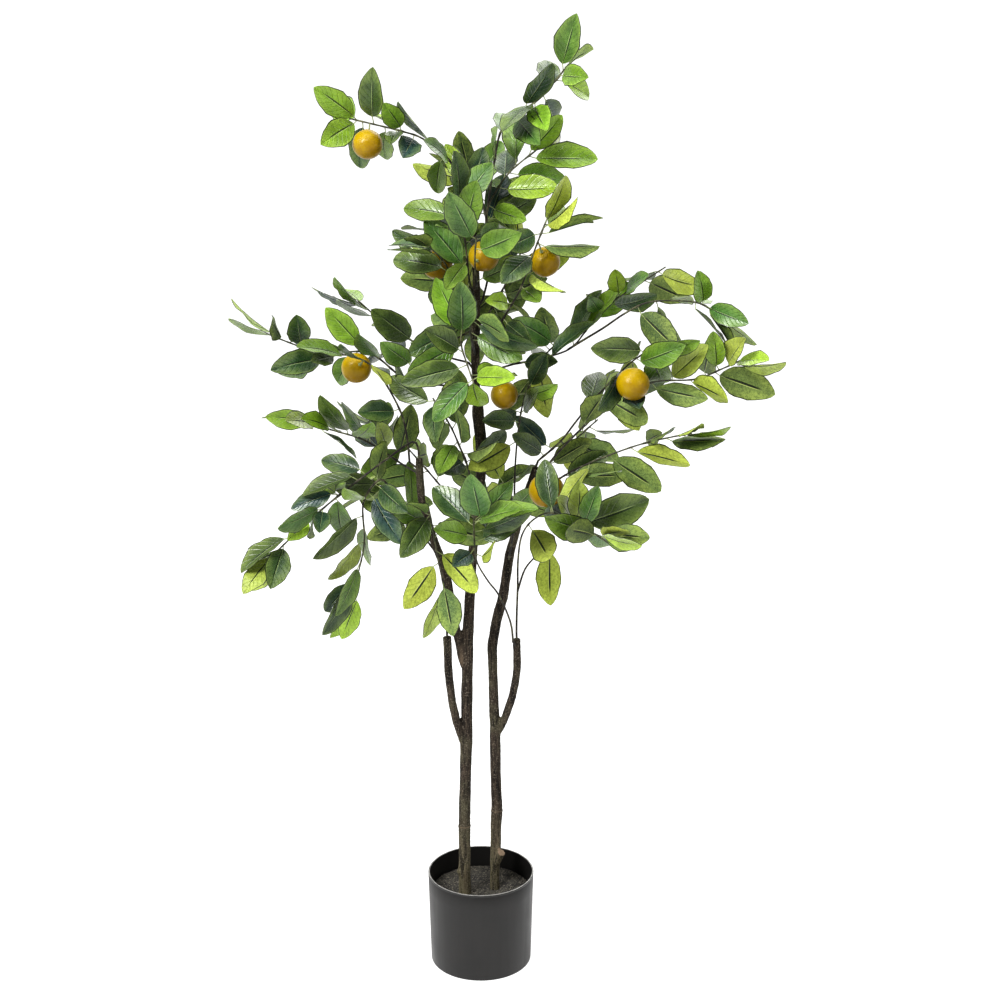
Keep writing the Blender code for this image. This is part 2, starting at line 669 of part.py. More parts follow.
def plan_leaves(wires, fruits):
    """Place every leaf, each swung until it is clear of all that stands already."""
    placed = Obstacles()
    for trunk, limbs in TRUNKS.items():
        for limb in limbs:
            points, radii = limb_points(limb)
            guard = [radius + LEAF_GAP for radius in radii]
            placed.add(trunk, *tube(points, guard, LIMB_GUARD_SIDES))
    for wire in wires:
        placed.add(wire.owner, *tube(wire.route, [radius + LEAF_GAP for radius in wire.radii], WIRE_SIDES))
    for name, (branch, centre, axis, radius, stalk) in fruits.items():
        placed.add(name, *ball(centre, axis, radius * FRUIT_GUARD))
        placed.add(branch, *skin(stalk))
    leaves = []
    for wire in wires:
        for index, word in enumerate(wire.words.split()):
            draw = random.Random(f"{wire.owner} {word} {index}")
            for attempt in range(LEAF_TRIES):
                leaf = draw_leaf(wire, word, draw, attempt)
                if placed.meets(*skin(guard_rings(leaf, True), split=True), leaf.owner, False):
                    continue
                blade = skin(guard_rings(leaf, False), split=True)
                if placed.meets(*blade, leaf.owner, True):
                    continue
                placed.add(leaf.owner, *skin(guard_rings(leaf, True), split=True))
                leaves.append(leaf)
                break
            else:
                print("no room for leaf", wire.owner, word)
    return leaves


def plan_fruits(wires):
    fruits = {}
    for name, (branch, centre, radius) in FRUITS.items():
        centre = Vector(centre) * MM
        radius *= MM
        point, axis = fruit_stalk(wires, branch, centre, radius)
        pole = centre + axis * radius
        fruits[name] = (branch, centre, axis, radius, stalk_rings(point, pole, axis))
    return fruits


def spin_profile(name, profile, segments, finish):
    """A turned body from (radius, height) pairs that start and stop on the axis."""
    shape = bmesh.new()
    verts = [shape.verts.new((radius, 0.0, height)) for radius, height in profile]
    edges = [shape.edges.new(pair) for pair in zip(verts, verts[1:])]
    bmesh.ops.spin(shape, geom=verts + edges, axis=(0, 0, 1), cent=(0, 0, 0), steps=segments,
                   angle=math.tau, use_merge=True)
    bmesh.ops.remove_doubles(shape, verts=shape.verts, dist=1e-6)
    bmesh.ops.recalc_face_normals(shape, faces=shape.faces)
    mesh = bpy.data.meshes.new(name)
    shape.to_mesh(mesh)
    shape.free()
    return add_object(name, mesh, finish)


def pot_radius(height):
    """Outer radius of the pot at a height."""
    return POT_BASE_RADIUS + (POT_RIM_RADIUS - POT_BASE_RADIUS) * height / POT_HEIGHT


def make_pot():
    inner_floor = pot_radius(POT_FLOOR) - POT_WALL
    profile = [(0.0, 0.0),
               (POT_BASE_RADIUS - POT_FOOT_BEVEL, 0.0),
               (pot_radius(POT_FOOT_BEVEL), POT_FOOT_BEVEL),
               (POT_RIM_RADIUS, POT_HEIGHT - POT_LIP),
               (POT_RIM_RADIUS - POT_LIP, POT_HEIGHT),
               (POT_RIM_RADIUS - POT_WALL + POT_LIP, POT_HEIGHT),
               (POT_RIM_RADIUS - POT_WALL, POT_HEIGHT - POT_LIP),
               (inner_floor, POT_FLOOR),
               (0.0, POT_FLOOR)]
    spin_profile("pot", profile, POT_SEGMENTS, "pot")


def make_filling():
    """The filling, with an uneven top and a plain hole for each trunk."""
    low = POT_FLOOR + GAP
    high = POT_HEIGHT - FILLING_DROP
    inset = POT_WALL + 2 * GAP
    low_radius = pot_radius(low) - inset
    high_radius = pot_radius(high) - inset
    profile = [(0.0, low), (low_radius, low), (high_radius, high - FILLING_EDGE_DROP)]
    profile += [(high_radius - FILLING_EDGE, high), (0.7 * high_radius, high), (0.35 * high_radius, high)]
    profile.append((0.0, high))
    filling = spin_profile("filling", profile, FILLING_SEGMENTS, "filling")
    for point in filling.data.vertices:
        place = point.co
        if place.z > high - 0.5 * FILLING_EDGE_DROP and place.xy.length < high_radius - 1.2 * FILLING_EDGE:
            waves = math.sin(FILLING_WAVES[0] * place.x + 1) * math.cos(FILLING_WAVES[1] * place.y)
            place.z += FILLING_ROUGHNESS * waves
    holes = []
    for limb in ("left_main", "right_main"):
        points, radii = limb_points(limb)
        foot = points[0] - Vector((0, 0, GAP))
        stop = points[1] + Vector((0, 0, HOLE_RISE))
        radius = (max(radii[:2]) + GAP) / math.cos(math.pi / LIMB_SIDES)
        holes.append(add_mesh("hole", *tube([foot, stop], [radius, radius], LIMB_SIDES), "filling"))
    combine(filling, holes, "DIFFERENCE")


def make_trunk(name, wires):
    """The limbs of one trunk in one piece, with a drilled hole for each wire."""
    limbs = []
    for limb in TRUNKS[name]:
        points, radii = limb_points(limb)
        limbs.append(add_mesh(name if not limbs else limb, *tube(points, radii, LIMB_SIDES), "wood"))
    combine(limbs[0], limbs[1:], "UNION")
    holes = []
    for branch, (foot, _, _) in list(BRANCHES.items()) + list(BACK_BRANCHES.items()):
        if foot[0] not in TRUNKS[name]:
            continue
        wire = next(wire for wire in wires if wire.owner == branch)
        start, stop = wire.route[0], wire.route[1]
        heading = (stop - start).normalized()
        radius = (WIRE_FOOT_RADIUS + GAP) / math.cos(math.pi / HOLE_SIDES)
        hole = tube([start - heading * GAP, stop], [radius, radius], HOLE_SIDES)
        holes.append(add_mesh("hole", *hole, "wood"))
    combine(limbs[0], holes, "DIFFERENCE")


def make_branch(name, wires, leaves, fruits):
    """One branch: its wires, fruit stalk and leaves, fused."""
    pieces = []
    for wire in wires:
        if wire.owner == name:
            body = tube(wire.route, wire.radii, WIRE_SIDES)
            pieces.append(add_mesh(f"spray_{name}" if not pieces else "piece", *body, "leaf"))
    for branch, _, _, _, stalk in fruits.values():
        if branch == name:
            pieces.append(add_mesh("piece", *skin(stalk), "leaf"))
    for leaf in leaves:
        if leaf.owner == name:
            pieces.append(add_mesh("piece", *skin(leaf_rings(leaf), split=True), "leaf"))
    combine(pieces[0], pieces[1:], "UNION")


def make_fruit(name, centre, axis, radius):
    add_mesh(name, *ball(centre, axis, radius), "fruit")


def main():
    clear_scene()
    wires = plan_wires()
    fruits = plan_fruits(wires)
    leaves = plan_leaves(wires, fruits)
    make_pot()
    make_filling()
    for trunk in TRUNKS:
        make_trunk(trunk, wires)
    for name in list(BRANCHES) + list(BACK_BRANCHES):
        make_branch(name, wires, leaves, fruits)
    for name, (_, centre, axis, radius, _) in fruits.items():
        make_fruit(name, centre, axis, radius)
    print(len(leaves), "leaves")


main()
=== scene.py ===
# %% [markdown]
# # An artificial citrus tree in a plain pot
#
# The real thing is a shop-made tree: two bare dried trunks set in a dark filling, plastic-coated
# wire branches pushed into drilled holes, leaves of coated cloth on short plastic stalks, and
# foam fruits with a painted skin. A solid model of it already exists. This file dresses that
# model: it keeps every place and size, and swaps the plain solids for finer pieces.

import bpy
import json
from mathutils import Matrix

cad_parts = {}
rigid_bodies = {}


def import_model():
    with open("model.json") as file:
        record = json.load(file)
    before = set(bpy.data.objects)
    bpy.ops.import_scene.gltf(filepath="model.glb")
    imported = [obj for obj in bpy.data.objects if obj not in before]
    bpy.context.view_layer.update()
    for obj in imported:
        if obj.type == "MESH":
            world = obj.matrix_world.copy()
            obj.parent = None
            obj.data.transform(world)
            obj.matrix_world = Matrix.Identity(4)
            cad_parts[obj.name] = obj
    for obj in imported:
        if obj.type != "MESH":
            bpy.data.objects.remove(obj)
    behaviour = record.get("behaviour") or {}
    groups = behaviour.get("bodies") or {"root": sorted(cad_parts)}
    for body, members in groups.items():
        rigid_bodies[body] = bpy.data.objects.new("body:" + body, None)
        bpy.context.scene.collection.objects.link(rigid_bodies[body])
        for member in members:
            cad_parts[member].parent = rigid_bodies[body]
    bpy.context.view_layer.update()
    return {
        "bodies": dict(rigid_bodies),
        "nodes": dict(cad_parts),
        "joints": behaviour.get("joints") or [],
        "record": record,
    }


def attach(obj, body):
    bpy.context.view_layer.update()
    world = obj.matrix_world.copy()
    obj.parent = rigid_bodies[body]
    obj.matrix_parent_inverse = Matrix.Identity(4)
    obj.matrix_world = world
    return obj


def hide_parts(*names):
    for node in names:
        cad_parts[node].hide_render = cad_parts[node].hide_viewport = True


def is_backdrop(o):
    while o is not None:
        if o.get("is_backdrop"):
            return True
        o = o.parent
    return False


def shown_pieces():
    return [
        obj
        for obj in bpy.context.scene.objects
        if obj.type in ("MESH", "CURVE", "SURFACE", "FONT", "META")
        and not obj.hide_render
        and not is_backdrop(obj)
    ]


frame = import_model()

# %% Modules
import functools
import json
import math
import random
import re
from collections import namedtuple

import bmesh
import bpy
from mathutils import Matrix, Quaternion, Vector, noise
from mathutils.bvhtree import BVHTree
from mathutils.kdtree import KDTree

MM = 0.001


def put_in_scene(name, data):
    """An object made of its data and linked into the scene."""
    made = bpy.data.objects.new(name, data)
    bpy.context.scene.collection.objects.link(made)
    return made


def mesh_from(name, shape):
    """A mesh made of a bmesh, which is freed."""
    mesh = bpy.data.meshes.new(name)
    shape.to_mesh(mesh)
    shape.free()
    return mesh

# %% [markdown]
# ## The camera
#
# The tree was photographed from a little above, with a long lens, so the trunks stay parallel.
# A camera is a viewpoint and a lens: the height and distance set the tilt of the pot's rim, and
# the lens sets how large the tree is in the frame. It looks straight along +Y, turned down.

# %% Camera
CAMERA_PLACE = (0.025, -2.2, 1.293)
CAMERA_DOWN = 16.73
CAMERA_LENS = 67.07
SENSOR_WIDTH = 36.0

lens = bpy.data.cameras.new("camera")
lens.lens = CAMERA_LENS
lens.sensor_width = SENSOR_WIDTH
camera = put_in_scene("camera", lens)
camera.location = CAMERA_PLACE
camera.rotation_euler = (math.radians(90 - CAMERA_DOWN), 0.0, 0.0)
bpy.context.scene.camera = camera
print("lens", CAMERA_LENS, "mm, turned down by", CAMERA_DOWN, "degrees")

# %% [markdown]
# ## Colour and nodes
#
# Colours are written as the hex values that a colour picker shows. Blender's sockets want linear
# light, so one function turns the one into the other. Another adds any node: a table says with
# which settings and sockets each sort of node is used here, so that a material reads like a
# recipe. Most finishes are thin layers over each other, so a third one lays colour over colour.

# %% Sorts of node
# A sort of node: Blender's name for it, its settings, its inputs in order and its output.
# A remap takes a value and the two ends of its range, and then what it becomes at each end.
SORTS = {
    "place": ("ShaderNodeTexCoord", {}, (), "Object"),
    "sight": ("ShaderNodeTexCoord", {}, (), "Generated"),
    "chart": ("ShaderNodeUVMap", {"uv_map": "blade"}, (), 0),
    "painted": ("ShaderNodeAttribute", {}, (), "Fac"),
    "tone": ("ShaderNodeAttribute", {"attribute_name": "tone"}, (), "Color"),
    "split": ("ShaderNodeSeparateXYZ", {}, (0,), slice(None)),
    "join": ("ShaderNodeCombineXYZ", {}, (0, 1), 0),
    "length": ("ShaderNodeVectorMath", {"operation": "LENGTH"}, (0,), "Value"),
    "stretch": ("ShaderNodeMapping", {}, ("Vector", "Scale"), 0),
    "noise": ("ShaderNodeTexNoise", {}, ("Vector", "Scale", "Detail", "Roughness", "Distortion"), "Fac"),
    "grains": ("ShaderNodeTexVoronoi", {}, ("Vector", "Scale"), "Color"),
    "pores": ("ShaderNodeTexVoronoi", {"feature": "SMOOTH_F1"}, ("Vector", "Scale"), "Distance"),
    "net": ("ShaderNodeTexVoronoi", {"feature": "DISTANCE_TO_EDGE"}, ("Vector", "Scale"), "Distance"),
    "red": ("ShaderNodeSeparateColor", {}, ("Color",), 0),
    "mix": ("ShaderNodeMix", {"data_type": "RGBA"}, (0, 6, 7), 2),
    "remap": ("ShaderNodeMapRange", {"interpolation_type": "SMOOTHSTEP"}, (0, 1, 2, 3, 4), 0),
    "bump": ("ShaderNodeBump", {}, ("Height", "Distance"), "Normal"),
}
print("sorts of node", len(SORTS))

# %% Helpers for materials
def linear(code):
    """Linear colour of an sRGB hex value."""
    values = [int(code[start:start + 2], 16) / 255 for start in (1, 3, 5)]
    return tuple(v / 12.92 if v <= 0.04045 else ((v + 0.055) / 1.055) ** 2.4 for v in values) + (1.0,)


def add_node(tree, sort, *inputs, **settings):
    """Add a node and return its output; an input is a value, a hex colour or an output to link.

    A sort that the table doesn't have is a sum, such as ADD or MULTIPLY.
    """
    kind, usual, sockets, output = SORTS.get(sort, ("ShaderNodeMath", {"operation": sort}, (0, 1), 0))
    node = tree.nodes.new(kind)
    for name, value in (usual | settings).items():
        setattr(node, name, value)
    for socket, value in zip(sockets, inputs):
        if isinstance(value, bpy.types.NodeSocket):
            tree.links.new(value, node.inputs[socket])
        else:
            node.inputs[socket].default_value = linear(value) if isinstance(value, str) else value
    return node.outputs[output]


def lay_over(add, colour, *layers):
    """Lay colours over a colour, one after the other, each by its own share."""
    for share, upper in layers:
        colour = add("mix", share, colour, upper)
    return colour


def new_material(name, roughness, ior=1.5, specular=0.5):
    """A material with its Principled shader, and the function that adds a node to it."""
    made = bpy.data.materials.new(name)
    made.use_nodes = True
    shader = made.node_tree.nodes["Principled BSDF"]
    for socket, value in (("Roughness", roughness), ("IOR", ior), ("Specular IOR Level", specular)):
        shader.inputs[socket].default_value = value
    return made, functools.partial(add_node, made.node_tree)


def lead(made, ends):
    """Link outputs to the sockets of the material's shader that they are named by."""
    tree = made.node_tree
    for socket, end in ends.items():
        tree.links.new(end, tree.nodes["Principled BSDF"].inputs[socket])
    print(made.name, "nodes", len(tree.nodes))
    return made


print("mid grey is", round(linear("#808080")[0], 3), "in linear light")

# %% [markdown]
# ## Floor and light
#
# A product photo of a plant is taken on a light table: a white floor that glows a little, so that
# shadows on it stay faint. The world is as white as the floor below the horizon, so no edge of
# the floor shows from any side. The room behind the camera is dimmer than the white behind the
# tree, which keeps the dark leaves deep. One large lamp from the upper left models the leaves, a
# weaker one from the right keeps the shadow side open, one overhead gives the flat leaves their
# sheen, and a wide one behind lights the back.

# %% Floor
FLOOR_RADIUS = 70.0
FLOOR_ROUNDS = 96
FLOOR_GLOW = 0.84
shape = bmesh.new()
bmesh.ops.create_circle(shape, cap_ends=True, radius=FLOOR_RADIUS, segments=FLOOR_ROUNDS)
floor = put_in_scene("studio_floor", mesh_from("studio_floor", shape))
paper, _ = new_material("white_paper", 0.9, specular=0.0)
sheet = paper.node_tree.nodes["Principled BSDF"].inputs
sheet["Base Color"].default_value = linear("#8f8f8e")
sheet["Emission Color"].default_value = linear("#ffffff")
sheet["Emission Strength"].default_value = FLOOR_GLOW
floor.data.materials.append(paper)
floor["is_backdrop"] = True
print("floor radius", FLOOR_RADIUS, "m")

# %% World and lamps
# Each lamp: its place, its width in metres, its power in watts and the point that it faces
LAMPS = {
    "key_softbox": ((-1.6, -1.8, 2.5), 0.9, 92.0, (0.0, 0.0, 0.75)),
    "fill_softbox": ((1.9, -1.4, 1.5), 1.2, 8.0, (0.0, 0.0, 0.7)),
    "back_softbox": ((0.8, 2.0, 2.3), 2.0, 28.0, (0.0, 0.0, 0.8)),
    "top_softbox": ((-0.1, -0.4, 2.7), 1.5, 22.0, (0.0, 0.0, 0.8)),
}
FRONT_GLOW = 0.16
BACK_GLOW = 0.80
GLOW_TURN = 0.6
HORIZON = (0.002, 0.014)

world = bpy.data.worlds.new("studio")
world.use_nodes = True
studio = world.node_tree
add = functools.partial(add_node, studio)
_, ahead, upward = add("split", add("sight"))
room = add("remap", ahead, -GLOW_TURN, GLOW_TURN, FRONT_GLOW, BACK_GLOW)
glow = add("MAXIMUM", room, add("remap", upward, *HORIZON, 1.0, 0.0))
sky = studio.nodes["Background"].inputs
sky["Color"].default_value = linear("#ffffff")
studio.links.new(glow, sky["Strength"])
bpy.context.scene.world = world
bpy.context.scene.view_settings.view_transform = "Standard"
bpy.context.scene.view_settings.look = "Medium High Contrast"
for name, (place, width, power, target) in LAMPS.items():
    lamp = bpy.data.lights.new(name, "AREA")
    lamp.size = width
    lamp.energy = power
    stand = put_in_scene(name, lamp)
    stand.location = place
    stand.rotation_euler = (Vector(target) - Vector(place)).to_track_quat("-Z", "Y").to_euler()
print("lamps", len(LAMPS))

# %% [markdown]
# ## Shapes and pieces
#
# Wires, stalks and limbs are all round and all bent. One way to make them is a curve with a
# bevel. Here a circle is extruded ring by ring along the bend instead, because each ring can
# then carry a value of its own, such as how far along the wire it is, for the colours to read.

# %% Round bent shapes
def frames_along(points, radii):
    """A frame of the size of each radius, turned as little as possible from point to point."""
    tangent = (points[1] - points[0]).normalized()
    side = tangent.orthogonal().normalized()
    frames = []
    for index, point in enumerate(points):
        before = points[max(index - 1, 0)]
        after = points[min(index + 1, len(points) - 1)]
        ahead = (after - before).normalized()
        side = tangent.rotation_difference(ahead) @ side
        tangent = ahead
        turn = Matrix((side, tangent.cross(side), tangent)).transposed().to_4x4()
        frames.append(Matrix.Translation(point) @ turn @ Matrix.Scale(radii[index], 4))
    return frames


def add_tube(shape, points, radii, sides, finish=0, values=None, layer=None):
    """Extrude a circle along points into a closed tube; a value goes on each of its rings."""
    frames = frames_along(points, radii)
    start = len(shape.faces)
    ring = bmesh.ops.create_circle(shape, segments=sides, radius=1.0, matrix=frames[0])["verts"]
    edges = list({edge for corner in ring for edge in corner.link_edges})
    bmesh.ops.edgeloop_fill(shape, edges=edges)
    for index, frame in enumerate(frames):
        if index:
            made = bmesh.ops.extrude_edge_only(shape, edges=edges)["geom"]
            ring = [item for item in made if isinstance(item, bmesh.types.BMVert)]
            corners = set(ring)
            edges = [item for item in made if isinstance(item, bmesh.types.BMEdge)
                     and corners.issuperset(item.verts)]
            bmesh.ops.transform(shape, matrix=frame @ frames[index - 1].inverted(), verts=ring)
        if layer:
            for corner in ring:
                corner[layer] = values[index]
    bmesh.ops.edgeloop_fill(shape, edges=edges)
    shape.faces.ensure_lookup_table()
    faces = shape.faces[start:]
    bmesh.ops.recalc_face_normals(shape, faces=faces)
    for face in faces:
        face.material_index = finish
    return faces


def finish_piece(name, shape, finishes, replaced=(), sharp=50.0):
    """Turn a bmesh into a piece of the tree: smooth shaded, dressed, and carried by the tree."""
    mesh = mesh_from(name, shape)
    for face in mesh.polygons:
        face.use_smooth = True
    mesh.set_sharp_from_angle(angle=math.radians(sharp))
    for finish in finishes:
        mesh.materials.append(finish)
    piece = put_in_scene(name, mesh)
    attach(piece, "root")
    if replaced:
        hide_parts(*replaced)
    print(name, "faces", len(mesh.polygons))
    return piece

# %% [markdown]
# ## The trunks
#
# The two trunks are real dried wood, cut with their bark on. They have thin rings at the nodes,
# a few sawn stubs, and a torn knot low on the right one. Their limbs are the same bent cones as
# in the solid model. The limbs are grown together by a voxel remesh, which leaves a soft collar
# at each fork as wood has, and the small faces that it makes are then pushed in and out as bark.

# %% The limbs of the trunks
# Each limb is a list of (x, y, z, radius) in millimetres, from its foot to its top
LIMBS = {
    "left_main": [(-21, -12, 45, 8.0), (-21, -12, 98, 8.2), (-21, -12, 188, 7.6), (-21, -12, 195, 8.4),
                  (-21, -12, 202, 7.6), (-19, -12, 274, 7.3), (-18, -11, 318, 8.0), (-17, -10, 370, 7.0),
                  (-16, -10, 420, 7.3), (-16, -10, 446, 7.5), (-15, -10, 466, 7.2), (-13, -9, 504, 6.5),
                  (-9, -8, 566, 5.8), (-3, -7, 621, 5.9), (2, -6, 672, 6.1), (2, -5, 710, 6.8),
                  (-2, -4, 742, 7.4), (-2, -4, 752, 6.9)],
    "leader": [(-2, -4, 735, 4.4), (-4, -2, 783, 4.8), (-5, 0, 817, 5.4), (-4, 0, 857, 5.5),
               (-3, 0, 898, 4.6), (-5, 0, 941, 3.3), (-6, 0, 971, 2.7)],
    "left_fork": [(-18, -11, 412, 4.6), (-22, -12, 427, 6.1), (-25, -12, 447, 6.0), (-31, -14, 470, 5.7),
                  (-42, -20, 546, 5.2), (-57, -24, 589, 5.0), (-71, -27, 640, 4.7), (-73, -28, 693, 4.4)],
    "left_stub": [(-19, -12, 307, 5.0), (-29, -16, 338, 5.3), (-36, -20, 373, 5.2), (-40, -22, 416, 5.2),
                  (-41, -22, 460, 5.2)],
    "right_main": [(18, 7, 45, 6.4), (18, 7, 96, 6.3), (18, 8, 128, 6.6), (19, 8, 152, 7.1),
                   (20, 8, 200, 7.2), (21, 8, 207, 8.0), (21, 8, 214, 7.1), (19, 9, 264, 6.8),
                   (19, 9, 317, 7.2), (17, 10, 361, 6.0), (15, 11, 435, 6.2), (20, 11, 467, 6.5),
                   (29, 12, 502, 6.2), (34, 13, 536, 6.4), (38, 14, 562, 5.7), (45, 15, 586, 5.4),
                   (51, 15, 612, 4.9), (62, 10, 650, 4.1), (69, 6, 672, 3.8)],
    "right_stub": [(20, 9, 312, 4.8), (32, 6, 340, 5.2), (41, 3, 370, 5.0), (47, 0, 407, 5.0),
                   (46, 0, 449, 5.0)],
    "right_knot": [(18, 7, 126, 4.8), (23, 2, 143, 5.6), (27, -2, 152, 5.3)],
}
TRUNKS = {
    "trunk_left": ("left_main", "leader", "left_fork", "left_stub"),
    "trunk_right": ("right_main", "right_stub", "right_knot"),
}


def limb_points(name):
    rows = LIMBS[name]
    return [Vector(row[:3]) * MM for row in rows], [row[3] * MM for row in rows]


def smooth_route(corners, spacing):
    """Points along a smooth curve through the corners, about a spacing apart."""
    route = [corners[0]]
    for index in range(1, len(corners)):
        first = corners[max(index - 2, 0)]
        start = corners[index - 1]
        stop = corners[index]
        last = corners[min(index + 1, len(corners) - 1)]
        steps = max(1, round((stop - start).length / spacing))
        for step in range(1, steps + 1):
            t = step / steps
            route.append(0.5 * (2 * start + (stop - first) * t
                                + (2 * first - 5 * start + 4 * stop - last) * t * t
                                + (3 * start - first - 3 * stop + last) * t ** 3))
    return route


print("limbs", len(LIMBS), "trunks", len(TRUNKS))

# %% Bark colour
# Dried wood with its bark: dull, grey-brown, with pale fibres, dark cracks along the grain and
# greenish weathering near the foot. It scatters light broadly, so the roughness is high. The
# grit of its skin is about half a millimetre, drawn at 0.9 mm so that it shows.
FIBRE_WIDTH = 1.1 * MM
CRACK_WIDTH = 3.2 * MM
GRAIN_STRETCH = 9.0
BARK_GRIT = 0.9 * MM
PATCHES_PER_METRE = 26.0
BARK_RELIEF = 0.55 * MM


def make_bark():
    bark, add = new_material("dried_bark", 0.85, specular=0.25)
    place = add("place")
    grain = add("stretch", place, (1, 1, 1 / GRAIN_STRETCH))
    fibre = add("noise", grain, 0.5 / FIBRE_WIDTH, 4.0, 0.65)
    cracks = add("remap", add("noise", grain, 0.5 / CRACK_WIDTH, 3.0, 0.5, 0.4), 0.36, 0.48, 1.0, 0.0)
    grit = add("noise", place, 0.5 / BARK_GRIT, 2.0)
    patch = add("noise", place, PATCHES_PER_METRE, 2.0)
    foot = add("painted", attribute_name="foot")
    colour = lay_over(add, "#241e19",
                      (add("remap", fibre, 0.38, 0.66), "#4b4137"),
                      (add("remap", patch, 0.45, 0.7), "#4b4738"),
                      (add("MULTIPLY", foot, add("remap", fibre, 0.3, 0.6, 0.25, 0.95)), "#6e6852"),
                      (add("MULTIPLY", cracks, 0.75), "#0b0908"),
                      (add("remap", grit, 0.56, 0.68, 0.0, 0.42), "#8a8173"),
                      (add("remap", grit, 0.42, 0.34, 0.0, 0.6), "#0d0b09"),
                      # Bare wood, and the painted highlight along the upper edge of each ring
                      (add("painted", attribute_name="bare"), "#7d6c5a"))
    height = add("ADD", add("SUBTRACT", fibre, cracks), add("MULTIPLY", grit, 0.5))
    return lead(bark, {"Base Color": colour, "Normal": add("bump", height, BARK_RELIEF)})


BARK = make_bark()

# %% [markdown]
# The bark's own relief is a height above the smooth limb. Stretched noise gives ridges that run
# with the grain. Each trunk has one thin ring low down, where a side shoot once grew, and a few
# small bumps of torn bark. A painted vertex value marks where the wood is bare, at the knot's
# sawn face and under the torn bark, and the same value paints a pale highlight along the upper
# edge of each ring, for the colour to read.

# %% Relief of the bark
RIDGE_HEIGHT = 0.85 * MM
RIDGE_WIDTH = 3.6 * MM
RIDGE_LENGTH = 26.0 * MM
LUMPS_PER_METRE = 55
PIMPLES_PER_METRE = 420
RING_HEIGHT = 0.7 * MM
RING_WIDTH = 1.0 * MM
RING_REACH = 14 * MM
RING_WANDER = 0.9 * MM
WANDERS_PER_METRE = 160
RINGS = [Vector((-21, -12, 195)) * MM, Vector((21, 8, 207)) * MM]
# Bumps of torn bark: where, how high and how wide, in millimetres
BUMPS = [((-29, -15, 131), 2.6, 4.0), ((25, 4, 453), 1.8, 3.2), ((11, 5, 367), 2.0, 2.6),
         ((27, 6, 533), 2.2, 3.6), ((-10, -14, 640), 1.2, 4.0), ((-24, -17, 447), 1.0, 5.0)]
# Strips where the bark has gone: middle, half length and how bare, and half of their two widths
STRIPS = [((-24, -17, 430), 17.0, 0.40), ((-20, -19, 120), 20.0, 0.22), ((20, 0, 165), 22.0, 0.18)]
STRIP_WIDTHS = (3.5, 4.5)


def bark_relief(place):
    """Height of the bark above the limb at a place, in metres, and its value for bare wood and painted ring
    highlight.
    """
    grain = Vector((place.x / RIDGE_WIDTH, place.y / RIDGE_WIDTH, place.z / RIDGE_LENGTH))
    ridge = noise.fractal(grain, 0.9, 2.1, 3)
    lump = noise.noise(place * LUMPS_PER_METRE)
    height = RIDGE_HEIGHT * (0.55 * ridge + 0.5 * lump + 0.25 * noise.noise(place * PIMPLES_PER_METRE))
    bare = 0.0
    for ring in RINGS:
        off = place - ring
        if off.length < RING_REACH:
            tilt = off.z + RING_WANDER * noise.noise(place * WANDERS_PER_METRE)
            height += RING_HEIGHT * math.exp(-(tilt / RING_WIDTH) ** 2)
            # Painted highlight: a pale band on the upper flank of the ring, where light from above would
            # catch it.
            bare = max(bare, 0.45 * math.exp(-((tilt - RING_WIDTH) / (0.6 * RING_WIDTH)) ** 2))
    for middle, rise, reach in BUMPS:
        away = (place - Vector(middle) * MM).length / (reach * MM)
        height += rise * MM * math.exp(-away * away)
    for middle, reach, amount in STRIPS:
        off = (place - Vector(middle) * MM) / MM
        away = (off.x / STRIP_WIDTHS[0]) ** 2 + (off.y / STRIP_WIDTHS[1]) ** 2 + (off.z / reach) ** 2
        bare = max(bare, amount * math.exp(-away ** 2) * (0.6 + 0.8 * abs(ridge)))
    return height, bare


print("rings", len(RINGS), "bumps", len(BUMPS), "strips", len(STRIPS))

# %% Trunks
VOXEL = 1.15 * MM
LIMB_SPACING = 5.0 * MM
LIMB_ROUNDS = 16
LIMB_EASING = 3
KNOT_FACE = Vector((27, -2, 152)) * MM
KNOT_FACING = Vector((0.38, -0.38, 0.85)).normalized()
KNOT_REACH = 7.0 * MM
KNOT_DEPTH = 0.9 * MM
FOOT_TOP = 0.215
FOOT_FADE = 0.09


def knot_face(place):
    """1 on the knot's sawn face, 0 elsewhere."""
    off = place - KNOT_FACE
    return 1.0 if off.dot(KNOT_FACING) > -KNOT_DEPTH and off.length < KNOT_REACH else 0.0


def eased_limb(name):
    """Evenly spaced points and radii along a limb, with its bends eased as growing wood has them."""
    rows = [Vector(row) * MM for row in LIMBS[name]]
    fine = [rows[0]]
    for start, stop in zip(rows, rows[1:]):
        steps = max(1, round((stop - start).length / LIMB_SPACING))
        fine += [start.lerp(stop, step / steps) for step in range(1, steps + 1)]
    for _ in range(LIMB_EASING):
        inner = [0.25 * low + 0.5 * spot + 0.25 * high for low, spot, high in zip(fine, fine[1:], fine[2:])]
        fine = fine[:1] + inner + fine[-1:]
    return [spot.to_3d() for spot in fine], [spot.w for spot in fine]


def grow_together(name):
    """The limbs of a trunk in one skin, as a bmesh."""
    shape = bmesh.new()
    for limb in TRUNKS[name]:
        add_tube(shape, *eased_limb(limb), LIMB_ROUNDS)
    rough = put_in_scene("rough_limbs", mesh_from(name, shape))
    remesh = rough.modifiers.new("grown_together", "REMESH")
    remesh.mode = "VOXEL"
    remesh.voxel_size = VOXEL
    grown = rough.evaluated_get(bpy.context.evaluated_depsgraph_get()).to_mesh()
    shape = bmesh.new()
    shape.from_mesh(grown)
    bpy.data.objects.remove(rough, do_unlink=True)
    bmesh.ops.smooth_vert(shape, verts=shape.verts, factor=0.5, use_axis_x=True, use_axis_y=True,
                          use_axis_z=True)
    shape.normal_update()
    return shape


